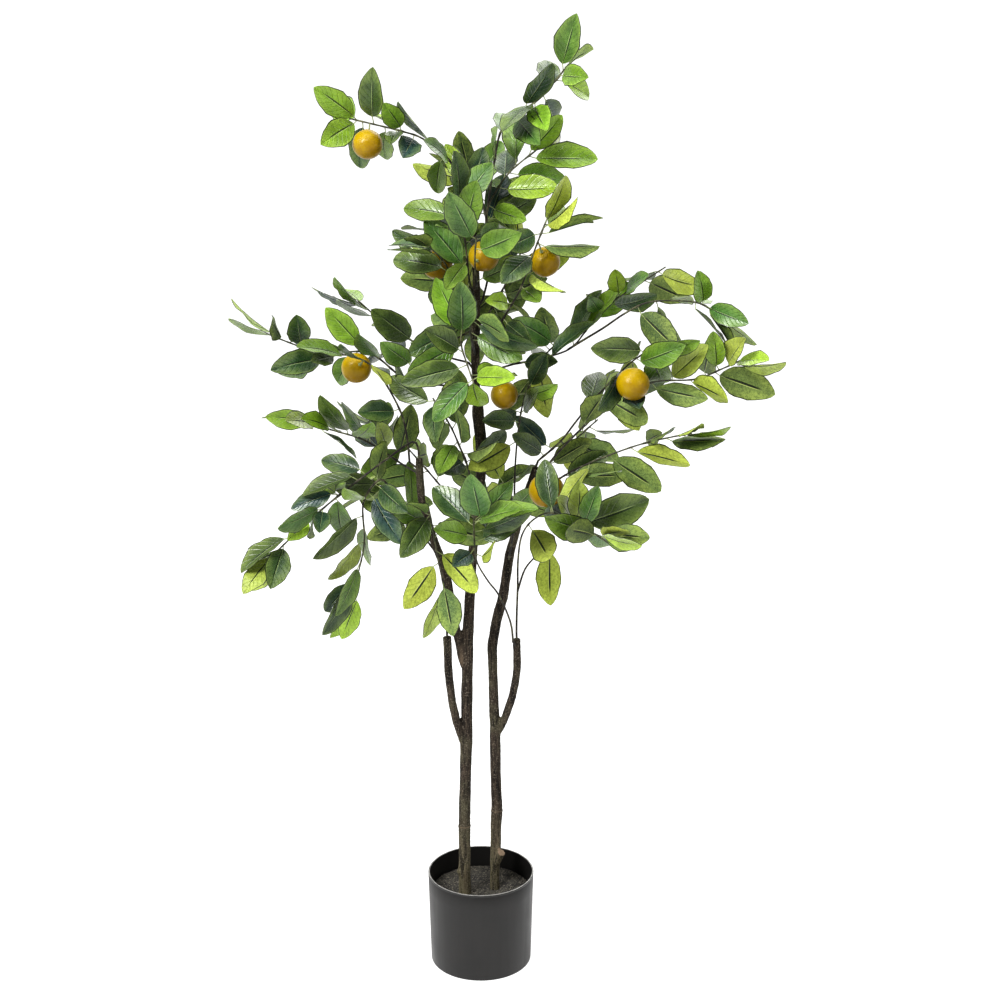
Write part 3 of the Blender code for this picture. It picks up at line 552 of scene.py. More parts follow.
def make_trunk(name):
    """A trunk with its bark pushed out along the skin, apart from the knot's sawn face."""
    shape = grow_together(name)
    bare_and_highlight_layer = shape.verts.layers.float.new("bare")
    foot_layer = shape.verts.layers.float.new("foot")
    for vert in shape.verts:
        height, bare = bark_relief(vert.co)
        face = knot_face(vert.co)
        vert[bare_and_highlight_layer] = max(bare, face)
        vert[foot_layer] = min(1.0, max(0.0, (FOOT_TOP - vert.co.z) / FOOT_FADE))
        vert.co += vert.normal * height * (1 - face)
    finish_piece(name + "_bark", shape, [BARK], [name], sharp=80.0)


for trunk in TRUNKS:
    make_trunk(trunk)

# %% [markdown]
# ## The pot
#
# The pot is moulded from a dark plastic. It is a turned shape, so its wall is drawn once as a
# profile and spun round. The rim is rounded as a mould leaves it, and a pale line is painted
# along its top edge as a highlight. A shallow groove runs just under it, and the foot has a
# small bevel. Inside, the skin is painted darker as shade, where no light reaches.

# %% Pot colour
# Moulded polypropylene, tinted grey: a soft skin with a faint cloudiness, semi-matt because the
# mould is lightly blasted. The grit of that blasting is 0.3 mm, drawn at 0.8 mm to show at all.
BLAST_GRIT = 0.8 * MM
BLAST_RELIEF = 0.04 * MM
CLOUDS_PER_METRE = 24.0
DRAGS_PER_METRE = 90.0
DRAG_STRETCH = 0.08
# How far below the rim the painted highlight along its top edge starts and ends
RIM_HIGHLIGHT_BAND = (0.5 * MM, 0.1 * MM)
POT_HEIGHT = 0.125
POT_BASE_RADIUS = 0.0658
POT_RIM_RADIUS = 0.0690
POT_TAPER = (POT_RIM_RADIUS - POT_BASE_RADIUS) / POT_HEIGHT
POT_WALL = 0.0022


def make_pot_plastic():
    plastic, add = new_material("moulded_polypropylene", 0.4, ior=1.49)
    place = add("place")
    across, ahead, up = add("split", place)
    cloud = add("noise", place, CLOUDS_PER_METRE, 3.0)
    drag = add("noise", add("stretch", place, (1.0, 1.0, DRAG_STRETCH)), DRAGS_PER_METRE)
    out = add("SUBTRACT", add("length", add("join", across, ahead)), add("MULTIPLY", up, POT_TAPER))
    depth = add("SUBTRACT", out, POT_BASE_RADIUS)
    # Painted highlight: a pale band along the rim's top edge, broken up by the drag noise.
    low, high = (POT_HEIGHT - drop for drop in RIM_HIGHLIGHT_BAND)
    rim_highlight = add("MULTIPLY", add("remap", up, low, high), add("remap", drag, 0.3, 0.6, 0.35, 0.9))
    colour = lay_over(add, "#1c1b1a",
                      (add("remap", cloud, 0.35, 0.65), "#22201f"),
                      # Painted shade: the inside wall is darker, where little light reaches.
                      (add("remap", depth, -0.6 * POT_WALL, -0.9 * POT_WALL), "#1b1a19"),
                      (rim_highlight, "#a3a19d"))
    worn = add("ADD", add("remap", cloud, 0.3, 0.7, 0.0, 0.08), add("remap", drag, 0.3, 0.7, 0.34, 0.42))
    grit = add("noise", place, 0.5 / BLAST_GRIT)
    return lead(plastic, {"Base Color": colour, "Roughness": worn, "Normal": add("bump", grit, BLAST_RELIEF)})


POT_PLASTIC = make_pot_plastic()

# %% Profile of the pot
POT_FLOOR = 0.0035
RIM_ROUNDING = 0.45
FOOT_BEVEL = 0.0012
GROOVE_DROP = 0.0032
GROOVE_DEPTH = 0.0003
GROOVE_PROFILE = ((0.0006, 0.0), (0.0002, 1.0), (-0.0002, 1.0), (-0.0006, 0.0))
WALL_ROWS = 6


def pot_radius(height):
    """Outer radius of the pot at a height."""
    return POT_BASE_RADIUS + (POT_RIM_RADIUS - POT_BASE_RADIUS) * height / POT_HEIGHT


def arc(middle_radius, middle_height, radius, start, stop, steps):
    """Points of a profile along an arc, its angles in degrees from the outward direction."""
    turns = [math.radians(start + (stop - start) * step / steps) for step in range(steps + 1)]
    return [(middle_radius + radius * math.cos(turn), middle_height + radius * math.sin(turn))
            for turn in turns]


def pot_profile():
    """The pot's wall from the middle of its base, up the outside, over the rim and down inside."""
    lip = RIM_ROUNDING * POT_WALL
    groove = POT_HEIGHT - GROOVE_DROP
    points = [(0.0, 0.0), (0.5 * POT_BASE_RADIUS, 0.0)]
    points += arc(POT_BASE_RADIUS - FOOT_BEVEL, FOOT_BEVEL, FOOT_BEVEL, -90, 0, 5)
    for row in range(1, WALL_ROWS):
        height = FOOT_BEVEL + (groove - FOOT_BEVEL) * row / WALL_ROWS
        points.append((pot_radius(height), height))
    for drop, depth in GROOVE_PROFILE:
        points.append((pot_radius(groove - drop) - depth * GROOVE_DEPTH, groove - drop))
    points += arc(POT_RIM_RADIUS - lip, POT_HEIGHT - lip, lip, 0, 90, 5)
    points += arc(POT_RIM_RADIUS - POT_WALL + lip, POT_HEIGHT - lip, lip, 90, 180, 5)
    inner = pot_radius(POT_FLOOR) - POT_WALL
    for row in range(1, WALL_ROWS):
        share = row / WALL_ROWS
        points.append((POT_RIM_RADIUS - POT_WALL + (inner - POT_RIM_RADIUS + POT_WALL) * share,
                       POT_HEIGHT - lip + (POT_FLOOR - POT_HEIGHT + lip) * share))
    points += arc(inner - FOOT_BEVEL, POT_FLOOR + FOOT_BEVEL, FOOT_BEVEL, 0, -90, 3)
    return points + [(0.5 * POT_BASE_RADIUS, POT_FLOOR), (0.0, POT_FLOOR)]


print("points of the profile", len(pot_profile()))

# %% Pot
POT_STEPS = 96


def spin_shape(profile, steps):
    """A closed turned shape from (radius, height) pairs that start and stop on the axis."""
    shape = bmesh.new()
    verts = [shape.verts.new((radius, 0.0, height)) for radius, height in profile]
    edges = [shape.edges.new(pair) for pair in zip(verts, verts[1:])]
    bmesh.ops.spin(shape, geom=verts + edges, axis=(0, 0, 1), cent=(0, 0, 0), steps=steps,
                   angle=math.tau, use_merge=True)
    bmesh.ops.remove_doubles(shape, verts=shape.verts, dist=1e-6)
    bmesh.ops.recalc_face_normals(shape, faces=shape.faces)
    return shape


finish_piece("pot_moulded", spin_shape(pot_profile(), POT_STEPS), [POT_PLASTIC], ["pot"])

# %% [markdown]
# ## The filling
#
# The trunks are held by a dark cement-like mass cast into the pot. Its top is uneven, with
# trowel marks, a hollow round the right trunk and loose grit between the two. It is turned like
# the pot, from a profile with many short steps, so that its top has points enough to be
# pushed up and down.

# %% Filling colour
# Cast mortar coloured with soot: no gloss, nearly black, with pale and dark sand of 0.5 to 1 mm,
# drawn at 1.3 mm so that it shows.
SAND = 1.3 * MM
DUST_PER_METRE = 60.0
MORTAR_RELIEF = 0.9 * MM


def make_mortar():
    mortar, add = new_material("dark_cast_mortar", 0.95)
    place = add("place")
    shade = add("red", add("grains", place, 1.0 / SAND))
    dust = add("noise", place, DUST_PER_METRE, 5.0, 0.7)
    colour = lay_over(add, "#262421",
                      (add("remap", dust, 0.35, 0.65), "#46433c"),
                      (add("remap", shade, 0.80, 0.94, 0.0, 0.7), "#7b7467"),
                      (add("remap", shade, 0.16, 0.04, 0.0, 0.8), "#080807"))
    height = add("ADD", dust, add("MULTIPLY", shade, 0.35))
    return lead(mortar, {"Base Color": colour, "Normal": add("bump", height, MORTAR_RELIEF)})


MORTAR = make_mortar()

# %% Filling
GAP = 0.0003
FILLING_TOP = POT_HEIGHT - 0.027
FILLING_EDGE_DROP = 0.002
FILLING_STEPS = 88
FILLING_ROWS = 30
# A hollow round a limb: how deep it is and how far it reaches, in millimetres
HOLLOW = {"left_main": (0.6, 4.0), "right_main": (2.6, 5.0)}
TROWEL_HEIGHT = 0.9 * MM
TROWELS_PER_METRE = 60
GRAIN_HEIGHT = 0.5 * MM
GRAINS_PER_METRE = 420


def filling_profile():
    low = POT_FLOOR + GAP
    inset = POT_WALL + 2 * GAP
    edge = pot_radius(FILLING_TOP) - inset
    points = [(0.0, low), (pot_radius(low) - inset, low), (edge, FILLING_TOP - FILLING_EDGE_DROP)]
    points += [(edge * (1 - row / FILLING_ROWS), FILLING_TOP) for row in range(1, FILLING_ROWS + 1)]
    return points


def filling_height(place):
    """How far the top stands above its level at a place: trowelled, grainy, hollow at a trunk."""
    level = Vector((place.x * TROWELS_PER_METRE, place.y * TROWELS_PER_METRE, 0.3))
    height = TROWEL_HEIGHT * noise.noise(level)
    height += GRAIN_HEIGHT * noise.fractal(place * GRAINS_PER_METRE, 0.8, 2.0, 2)
    for limb, (depth, reach) in HOLLOW.items():
        points, radii = limb_points(limb)
        away = (place.xy - points[1].xy).length - radii[1]
        height -= depth * MM * math.exp(-(max(away, 0.0) / (reach * MM)) ** 2)
    return height


def make_filling():
    shape = spin_shape(filling_profile(), FILLING_STEPS)
    for vert in shape.verts:
        if vert.co.z > FILLING_TOP - 0.5 * FILLING_EDGE_DROP:
            vert.co.z += filling_height(vert.co)
    finish_piece("filling_cast", shape, [MORTAR], ["filling"], sharp=80.0)


make_filling()

# %% Loose grit on the filling
GRIT_COUNT = 240
GRIT_SIZES = (0.35 * MM, 0.95 * MM)
GRIT_SHAPE = (1, 0.8, 0.6, 1)
GRIT_LIFT = 0.35
GRIT_MIDDLE = Vector((-4.0, -16.0, 0.0)) * MM
GRIT_SPREAD = 17.0 * MM
GRIT_MARGIN = 3 * MM


def make_grit():
    """Small broken grains, each a low round lump sunk into the top by a part of its size."""
    draw = random.Random("grit")
    shape = bmesh.new()
    reach = pot_radius(FILLING_TOP) - POT_WALL - GRIT_MARGIN
    for index in range(GRIT_COUNT):
        spread = GRIT_SPREAD if index % 3 else 2.0 * GRIT_SPREAD
        place = GRIT_MIDDLE + Vector((draw.gauss(0, spread), draw.gauss(0, spread), 0.0))
        size = draw.uniform(*GRIT_SIZES)
        turn = Quaternion((draw.random(), draw.random(), draw.random()), draw.uniform(0, 6))
        if place.length > reach:
            continue
        height = filling_height(Vector((place.x, place.y, FILLING_TOP)))
        place.z = FILLING_TOP + height + GRIT_LIFT * size
        matrix = Matrix.Translation(place) @ turn.to_matrix().to_4x4() @ Matrix.Diagonal(GRIT_SHAPE)
        bmesh.ops.create_icosphere(shape, subdivisions=1, radius=size, matrix=matrix)
    finish_piece("filling_grit", shape, [MORTAR], sharp=10.0)


make_grit()

# %% [markdown]
# ## Where the branches are
#
# Each branch is a wire in a drilled hole, with its leaves clipped on. The routes are the solid
# model's own, so the fine branches lie exactly where the solid ones do. Each leaf is one word:
# its place along the wire in per cent, a tone, and the hour that it points to on a dial of 24 as
# seen from the front. The tones are Dark, Mid, Fresh and Yellowish, and a small letter shows the
# leaf's underside. Then b is a big leaf, s and t point more and more towards or away from the
# front, h is half turned, e is edge on, and f stands forward on a longer stalk.

# %% Branches
# A branch: the limb and height in millimetres where it stands, its route and its leaves
BRANCHES = {
    "crown_left": (("leader", "end"),
                   [(-10, 12, 1000), (-35, 15, 1045), (-65, 10, 1070), (-90, 0, 1080), (-150, -5, 1095)],
                   "40M21th 55D21se 65D13t 75F21sh 80M13t 88D0s 92D13s 96F15s 97F20s 99F21s"),
    "crown_side": (("leader", 881),
                   [(-12, -25, 915), (-15, -30, 950), (-25, -30, 1005)],
                   "40M21b 70M19te 75M1s 80D20sh 85M19 92D0sh 96M2 99D0sh"),
    "left_ball_high": (("leader", 857),
                       [(-25, -15, 880), (-38, -38, 930), (-60, -45, 955)],
                       "65D19f 90D18se 97M19sh 99m20th"),
    "crown_right": (("leader", 869),
                    [(12, 18, 915), (10, 20, 985), (40, 10, 1035), (70, 0, 1060)],
                    "50D4 70F6 75D0s 80M6 85M0 94F6b 99Y2s"),
    "front_ball": (("leader", 891),
                   [(-3, -28, 905), (-4, -62, 940), (-2, -66, 968)],
                   "35M4 85M5s 95D4s 97M22s"),
    "right_ball": (("leader", 826),
                   [(20, -22, 850), (50, -42, 905), (66, -44, 950), (80, -25, 982)],
                   "65y9sh 75D15s 82m6h 90m5e 94y4sh 97F3s 99Y2sh"),
    "left_high": (("leader", 793),
                  [(-45, 40, 805), (-90, 62, 822), (-118, 65, 840), (-150, 60, 870)],
                  "55D20s 70D19te 85M19se 90M20se 96D19e 99F21sh"),
    "left_long": (("leader", 764),
                  [(-50, 22, 772), (-90, 25, 778), (-130, 15, 812), (-200, 0, 820), (-258, 0, 842)],
                  "35m21th 42D18th 50M21th 57F21 65D18th 72D19te 84D0t 92d22th 96M19se 99F20e"),
    "left_ball_low": (("left_fork", 678),
                      [(-92, -30, 745), (-125, -52, 812), (-160, -62, 828), (-210, -60, 815)],
                      "50y22th 68D20te 78M19sh 88D17s 95F4th 99M17sh"),
    "left_spread": (("left_fork", 662),
                    [(-95, 18, 672), (-140, 25, 700), (-210, 15, 725)],
                    "35d1 45Y0th 50D21s 56D21h 60M3sh 66F4th 72D21sh 78d20se 85F20th 90m19te 95M19e 99Y19th"),
    "left_low_long": (("left_fork", "end"),
                      [(-80, -38, 716), (-112, -72, 702), (-185, -100, 650), (-250, -100, 588)],
                      "45D17h 52F18th 58M12s 66M16sh 72M14th 85D16h 90D13s 94F16sh 97M15t 99Y15s"),
    "left_hanging": (("left_fork", 586),
                     [(-92, -42, 630), (-118, -62, 676), (-138, -70, 650), (-138, -70, 600),
                      (-155, -70, 525)],
                     "40D18 44m0sh 50D10 54F20th 60D15bh 66M12sh 72Y14h 82M13h 92D14h 99F14h"),
    "front_left": (("leader", 851),
                   [(-18, -32, 862), (-20, -80, 845), (-5, -122, 808)],
                   "22M22th 36D16 44F22 52M0s 62M16 84D17b 92F5sh 96F11t 99M15"),
    "front_left_low": (("leader", 833),
                       [(-38, -38, 835), (-82, -68, 812)],
                       "65y3th 75F23t 92D20sh 98M20t"),
    "front_right": (("leader", 812),
                    [(-8, -38, 838), (-10, -65, 862), (-3, -82, 882)],
                    "45D6bh 62M8 84D8bh 94m8sh 99y15th"),
    "slender": (("right_main", 547),
                [(42, -15, 600), (44, -20, 690), (54, -22, 765), (80, -12, 818), (98, -2, 832)],
                "40m4te 55y16 68D2th 75F6th 82d14s 86y12s 91D3h 94D22e 97d23s 99M20s"),
    "right_ball_twig": (("right_main", "end"),
                        [(98, -5, 707), (138, -32, 768), (185, -55, 822), (215, -58, 840)],
                        "50D1s 58m8 66D6h 72y4th 76D14sh 81M1th 85M5s 89m5se 94M10s 98F6sh"),
    "right_far": (("right_main", 652),
                  [(98, -30, 704), (160, -28, 764), (205, -42, 790), (255, -55, 797), (314, -60, 824)],
                  "35d2s 41m4e 46Y2s 51y9s 56D11t 64m7 72Y3s 79y8sh 84d1t 88m7b 93Y1th 96F5th 99Y7se"),
    "right_low": (("right_main", 624),
                  [(84, -35, 660), (120, -85, 698), (190, -90, 727), (250, -85, 739)],
                  "40d6 47m6se 55Y14h 64m8b 74y7h 82d4te 89d6h 94y5te 97F6se 99y7se"),
    "right_top": (("leader", 779),
                  [(38, 26, 796), (110, 35, 814), (150, 40, 862), (225, 35, 915)],
                  "48D2bh 56F2h 62F3 66M23th 72D6sh 80M3th 90m7s 96M17se 99Y8sh"),
    "lower_right": (("right_stub", "end"),
                    [(47, -8, 520), (52, -35, 598), (88, -98, 645), (150, -150, 625)],
                    "57y10s 74D0f 80D20t 84Y22th 88D5b 91M8sh 93M19s 95d19s 97y5th 98F6s 99F7sh 99m6s"),
    "centre_fan": (("right_stub", 438),
                   [(38, -18, 478), (24, -38, 520), (-2, -68, 572), (-6, -120, 648)],
                   "70y4th 80D4 88D5h 92D21 94M3 96M4sh 98M5bh 99M23s"),
    "left_stub_twig": (("left_stub", "end"),
                       [(-40, -32, 505), (-50, -60, 575), (-60, -75, 645)],
                       "40Y13h 46m11 62y14 70y9 88m7 95D14s 99m21th"),
    "left_inner": (("left_main", 634),
                   [(-14, -38, 685), (-35, -48, 740), (-55, -45, 772)],
                   "42D3s 50m5sh 58m0sh 72d0 80m14th 88Y3th 98D20"),
}
print("branches with leaves placed by hand", len(BRANCHES))

# %% Twigs and branches at the back
# Side wires twisted onto a branch: its place there in per cent, its route and its leaves
TWIGS = {
    "crown_right": (55, [(18, 28, 1040), (30, 22, 1085), (70, 14, 1115), (104, 0, 1156)],
                    "30M0te 58M10s 65D3sh 70D15sh 76D9t 82D0s 93F8t 97F2se 99M1s"),
    "right_top": (45, [(150, 8, 846), (200, -10, 880), (262, -15, 880), (282, -15, 868)],
                  "52d9 64m10sh 74d5th 85D9e 90F23t 95d10e 99m9h"),
    "lower_right": (22, [(56, -10, 545), (84, -32, 586)],
                    "99y12"),
}
# Branches at the back: their limb, route and number of leaves
BACK_BRANCHES = {
    "back_crown": (("leader", 930), [(8, 34, 950), (5, 66, 985), (-15, 88, 1020)], 6),
    "back_upper_left": (("leader", 818), [(-12, 40, 858), (-36, 72, 912), (-54, 92, 955)], 6),
    "back_upper_right": (("leader", 841), [(20, 36, 872), (40, 68, 905), (56, 88, 935)], 6),
    "back_centre": (("leader", 803), [(0, 50, 820), (-8, 100, 838), (-15, 132, 828)], 6),
    "back_right": (("right_main", 640), [(84, 48, 662), (120, 85, 686), (150, 110, 706)], 6),
    "back_left": (("left_main", 590), [(-38, 45, 622), (-82, 88, 662), (-125, 108, 705)], 6),
    "back_low": (("right_main", 580), [(42, 60, 608), (30, 105, 622), (12, 132, 602)], 5),
    "back_low_left": (("left_fork", 560), [(-80, 18, 592), (-115, 58, 620), (-140, 82, 636)], 5),
}
print("twigs", len(TWIGS), "branches at the back", len(BACK_BRANCHES))

# %% Where a wire starts
FOOT_CLEAR = 0.0045
END_HOLE_DEPTH = 0.007
FOOT_RISE = 0.9
FOOT_REACH = 1.42


def limb_spot(name, height):
    """Middle, direction and radius of a limb at a height in millimetres, or at its end."""
    points, radii = limb_points(name)
    if height == "end":
        return points[-1], (points[-1] - points[-2]).normalized(), radii[-1]
    level = height * MM
    for low, high, below, above in zip(points, points[1:], radii, radii[1:]):
        if low.z <= level <= high.z:
            share = (level - low.z) / (high.z - low.z)
            return low.lerp(high, share), (high - low).normalized(), below + share * (above - below)
    raise ValueError(f"{name} has no wood at {height} mm")


def wire_foot(limb, height, towards):
    """The straight start of a wire: its foot in the wood, where it comes out, and a point past it."""
    middle, axis, radius = limb_spot(limb, height)
    if height == "end":
        return [middle - axis * END_HOLE_DEPTH, middle + axis * FOOT_CLEAR, middle + axis * 2 * FOOT_CLEAR]
    outward = towards - middle
    outward -= axis * outward.dot(axis)
    heading = (outward.normalized() + axis * FOOT_RISE).normalized()
    reach = radius * FOOT_REACH + FOOT_CLEAR
    return [middle, middle + heading * reach, middle + heading * (reach + FOOT_CLEAR)]


print("the leader ends at", round(limb_spot("leader", "end")[0].z / MM), "mm")

# %% Wires
WIRE_STEP = 0.036
# An hour of the leaf dial in degrees
HOUR = 15
# Leaves of a back branch: where the first is and how far they reach, in per cent, and the hours
# between a leaf and the wire
BACK_START = 48
BACK_REACH = 51
BACK_HOURS = (2, 3, 4, 5)

# One wire: its name, the branch that it is part of, its route, the words of its leaves, and
# whether it is at the back
Wire = namedtuple("Wire", "name owner route words back")


def along(route, share):
    """Point and direction at a share of a route's length."""
    lengths = [(b - a).length for a, b in zip(route, route[1:])]
    left = share * sum(lengths)
    for start, stop, length in zip(route, route[1:], lengths):
        if left <= length:
            return start.lerp(stop, left / length), (stop - start).normalized()
        left -= length
    return route[-1], (route[-1] - route[-2]).normalized()


def back_words(name, route, count):
    """Words for the leaves of a back branch: they spread to both sides of the wire in turn."""
    draw = random.Random(name)
    heading = route[-1] - route[len(route) // 2]
    dial = round(math.degrees(math.atan2(-heading.x, heading.z)) / HOUR)
    words = []
    for index in range(count):
        place = BACK_START + round(BACK_REACH * index / (count - 1))
        side = (1 if index % 2 else -1) * draw.choice(BACK_HOURS)
        tone = draw.choice("DDMMMFYdm")
        words.append(f"{place}{tone}{(dial + side) % 24}{draw.choice(('', 's', 'h', 'sh'))}")
    return " ".join(words)


def wire_route(foot, corners):
    """A wire's route from its foot in a limb, given as limb and height, through its corners."""
    corners = [Vector(corner) * MM for corner in corners]
    start = wire_foot(*foot, corners[0])
    return start[:1] + smooth_route(start[1:] + corners, WIRE_STEP)


def plan_wires():
    """Every wire of the tree, branch by branch, with the twigs that are twisted onto it."""
    wires = []
    for name, (foot, corners, words) in BRANCHES.items():
        wires.append(Wire(name, name, wire_route(foot, corners), words, False))
        if name in TWIGS:
            place, bends, words = TWIGS[name]
            joint, _ = along(wires[-1].route, place / 100)
            route = smooth_route([joint] + [Vector(bend) * MM for bend in bends], WIRE_STEP)
            wires.append(Wire(name + "_twig", name, route, words, False))
    for name, (foot, corners, count) in BACK_BRANCHES.items():
        route = wire_route(foot, corners)
        wires.append(Wire(name, name, route, back_words(name, route, count), True))
    return wires


WIRES = plan_wires()
print("wires", len(WIRES))

# %% [markdown]
# ## Where the leaves are
#
# The solid model swung each leaf a little further, try by try, until it met no other. Its seeded
# draws are repeated here, and the try whose leaf tip is found among the solid model's own points
# is the one that was kept. That gives each leaf's exact place without a second search.

# %% A leaf's word
# Values for the letters of a word: the first letter that the word has counts. DEPTHS are how far
# a leaf points out of the picture and ROLLS how far it is turned about its midrib, in degrees.
DEPTHS = {"t": 62, "s": 46}
ROLLS = {"e": 84, "h": 55}
USUAL_TURN = 14
SIZES = {"b": 1.13, "t": 0.84}


def read_word(word):
    """Place, tone, dial and classes of a leaf's word."""
    place, tone, dial, classes = re.fullmatch(r"(\d+)(\D)(\d+)(\D*)", word).groups()
    return int(place) / 100, tone, int(dial), classes


def by_class(classes, values, usual):
    """The value of the first letter that the classes have, or the usual one."""
    return next((value for letter, value in values.items() if letter in classes), usual)


print("one word", read_word("21D14sh"))

# %% Shape of a leaf
LEAF_LENGTH = 0.064
LEAF_WIDTH = 0.033


class Leaf(namedtuple("Leaf", "owner root base heading top length width arch fold tone")):
    """A leaf: its branch, its root in the wire and the start of its blade, its heading and top
    side, its size, how much it arches and folds, and its tone."""

    def middle(self, t):
        """A point on the midrib at a share of the blade's length."""
        return self.base + (self.heading * t - self.top * self.arch * t * t) * self.length

    def frame(self, t):
        """The directions across and up from the blade at a share of its length."""
        ahead = (self.heading - self.top * 2 * self.arch * t).normalized()
        side = self.heading.cross(self.top).normalized()
        return side, side.cross(ahead)


print("a leaf is about", LEAF_LENGTH / MM, "by", LEAF_WIDTH / MM, "mm")

# %% Drawing a leaf
EYE_TILT = math.radians(17.0)
ACROSS = Vector((1.0, 0.0, 0.0))
FACING = Vector((0.0, -math.cos(EYE_TILT), math.sin(EYE_TILT)))
STALK_LENGTH = 0.010
FRONT_STALK_LENGTH = 0.024
LAST_PLACE = 0.965
NEARER_SHARE = 0.6
SIZE_SPREAD = (0.93, 1.04)
STALK_SPREAD = (0.8, 1.15)
WIDTH_SPREAD = (0.9, 1.1)
ARCHES = (0.04, 0.2)
FOLDS = (0.12, 0.42)
# What each further try adds: swing in degrees, a share off the size, and metres of stalk
SWING = (3.0, 0.45)
SHRINK = 0.0016
STRETCH = 0.00004
LEAST_OUTWARD = 0.25


def draw_leaf(wire, word, draw, attempt, smaller=1.0):
    """One try at a leaf: each further try swings it more."""
    place, tone, dial, classes = read_word(word)
    swing = math.radians(SWING[0] + SWING[1] * attempt)
    bearing = math.radians(90 - HOUR * dial) + draw.uniform(-swing, swing)
    depth = math.radians(by_class(classes, DEPTHS, USUAL_TURN))
    away = -1 if wire.back else 1
    nearer = 1 if draw.random() < NEARER_SHARE else -1
    depth = nearer * depth + draw.uniform(-swing, swing)
    roll = math.radians(by_class(classes, ROLLS, USUAL_TURN))
    roll = (1 if draw.random() < 0.5 else -1) * roll + draw.uniform(-swing, swing)
    across = ACROSS * away
    eye = Vector((FACING.x, FACING.y * away, FACING.z))
    flat = across * math.cos(bearing) + eye.cross(across) * math.sin(bearing)
    heading = (flat * math.cos(depth) + eye * math.sin(depth)).normalized()
    top = (eye - heading * eye.dot(heading)).normalized()
    if tone.islower():
        top = -top
    top = Quaternion(heading, roll) @ top
    size = draw.uniform(*SIZE_SPREAD) * (1 - SHRINK * attempt) * by_class(classes, SIZES, 1.0)
    root, tangent = along(wire.route, min(place, LAST_PLACE))
    outward = heading - tangent * heading.dot(tangent)
    if outward.length < LEAST_OUTWARD:
        outward += tangent.cross(top) * draw.choice((-1, 1)) * 0.5
    lean = (heading * 0.7 + outward.normalized() * 0.7).normalized()
    stalk = STALK_LENGTH * draw.uniform(*STALK_SPREAD) + STRETCH * attempt
    if "f" in classes:
        lean = (heading * 0.3 + eye).normalized()
        stalk = FRONT_STALK_LENGTH
    width = LEAF_WIDTH * size * draw.uniform(*WIDTH_SPREAD)
    return Leaf(wire.owner, root, root + lean * stalk, heading, top, LEAF_LENGTH * size * smaller,
                width * smaller, draw.uniform(*ARCHES), draw.uniform(*FOLDS), tone)


print("a stalk is about", STALK_LENGTH / MM, "mm long")

# %% Places of the leaves
LEAF_TRIES = 160
TIP_TOLERANCE = 0.02 * MM


def solid_points(node):
    """A search tree of a solid node's points."""
    verts = frame["nodes"][node].data.vertices
    tree = KDTree(len(verts))
    for index, vert in enumerate(verts):
        tree.insert(vert.co, index)
    tree.balance()
    return tree


def find_leaves():
    """The try at each leaf whose tip is one of the solid model's points."""
    found = []
    for wire in WIRES:
        points = solid_points("spray_" + wire.owner)
        for index, word in enumerate(wire.words.split()):
            draw = random.Random(f"{wire.owner} {word} {index}")
            for attempt in range(LEAF_TRIES):
                leaf = draw_leaf(wire, word, draw, attempt)
                if points.find(leaf.middle(1.0))[2] < TIP_TOLERANCE:
                    found.append(leaf)
                    break
    return found


LEAVES = find_leaves()
print("leaf words", sum(len(wire.words.split()) for wire in WIRES), "leaves found", len(LEAVES))

# %% [markdown]
# ## Leaf finishes
#
# Such leaves are die-cut from polyester cloth, printed green, coated with a soft plastic film
# and pressed in a heated mould that gives them their veins. The upper side has a satin gloss, a
# thin pale midrib and faint side veins pressed in. The underside is thinner print: paler, duller
# and mottled, with a dark midrib and a net of fine veins. Each leaf carries its own tone as a
# vertex colour, so that one finish serves all of them.

# %% Patterns that both sides of a leaf share
# The threads of the cloth are about 0.3 mm apart and the mottles of thin ink about 1 mm across.
# They are drawn at 0.9 mm and 1.7 mm so that they show.
SIDE_VEIN_COUNT = 10.0
SIDE_VEIN_SLANT = 2.2
WEAVE = 0.9 * MM
MOTTLE = 1.7 * MM
CLOUD = 11.0 * MM
RIB_FADE = (0.60, 0.74)
# A thin dark line along the blade's edge: where it starts and where it is full across the blade, and its
# strength at each
DARK_EDGE_LINE = (0.90, 0.96, 0.0, 0.92)


def leaf_patterns(add, vein_width):
    """Patterns over a blade: first its shares, then its noises, then where its parts are.

    The shares are the one across from the midrib, plus and minus by side, and its size. The
    noises are the slow clouds of the print, the weave and the mottles. The parts are the side
    veins, which slant forward, the outer part of the leaf with a cloudy border, and the midrib.
    """
    across, lengthwise, _ = add("split", add("chart"))
    sided = add("SUBTRACT", add("MULTIPLY", across, 2.0), 1.0)
    across = add("ABSOLUTE", sided)
    place = add("place")
    cloud = add("noise", place, 0.5 / CLOUD, 2.0)
    weave = add("noise", place, 0.5 / WEAVE, 3.0, 0.75)
    mottle = add("noise", place, 0.5 / MOTTLE, 4.0, 0.8)
    slanted = add("SUBTRACT", add("MULTIPLY", lengthwise, SIDE_VEIN_COUNT),
                  add("MULTIPLY", across, SIDE_VEIN_SLANT))
    veins = add("remap", add("PINGPONG", slanted, 0.5), 0.0, vein_width, 1.0, 0.0)
    spread = add("ADD", add("MULTIPLY", across, 0.55), add("MULTIPLY", lengthwise, 0.50))
    outer = add("remap", add("ADD", spread, cloud), 0.85, 1.35)
    rib = add("remap", lengthwise, *RIB_FADE, 1.0, 0.0)
    return (sided, across), (cloud, weave, mottle), (veins, outer, rib)


print("side veins", SIDE_VEIN_COUNT, "to a side")

# %% Leaf finishes
NET_CELL = 2.2 * MM
TOP_RELIEF = 0.42 * MM
UNDER_RELIEF = 0.16 * MM


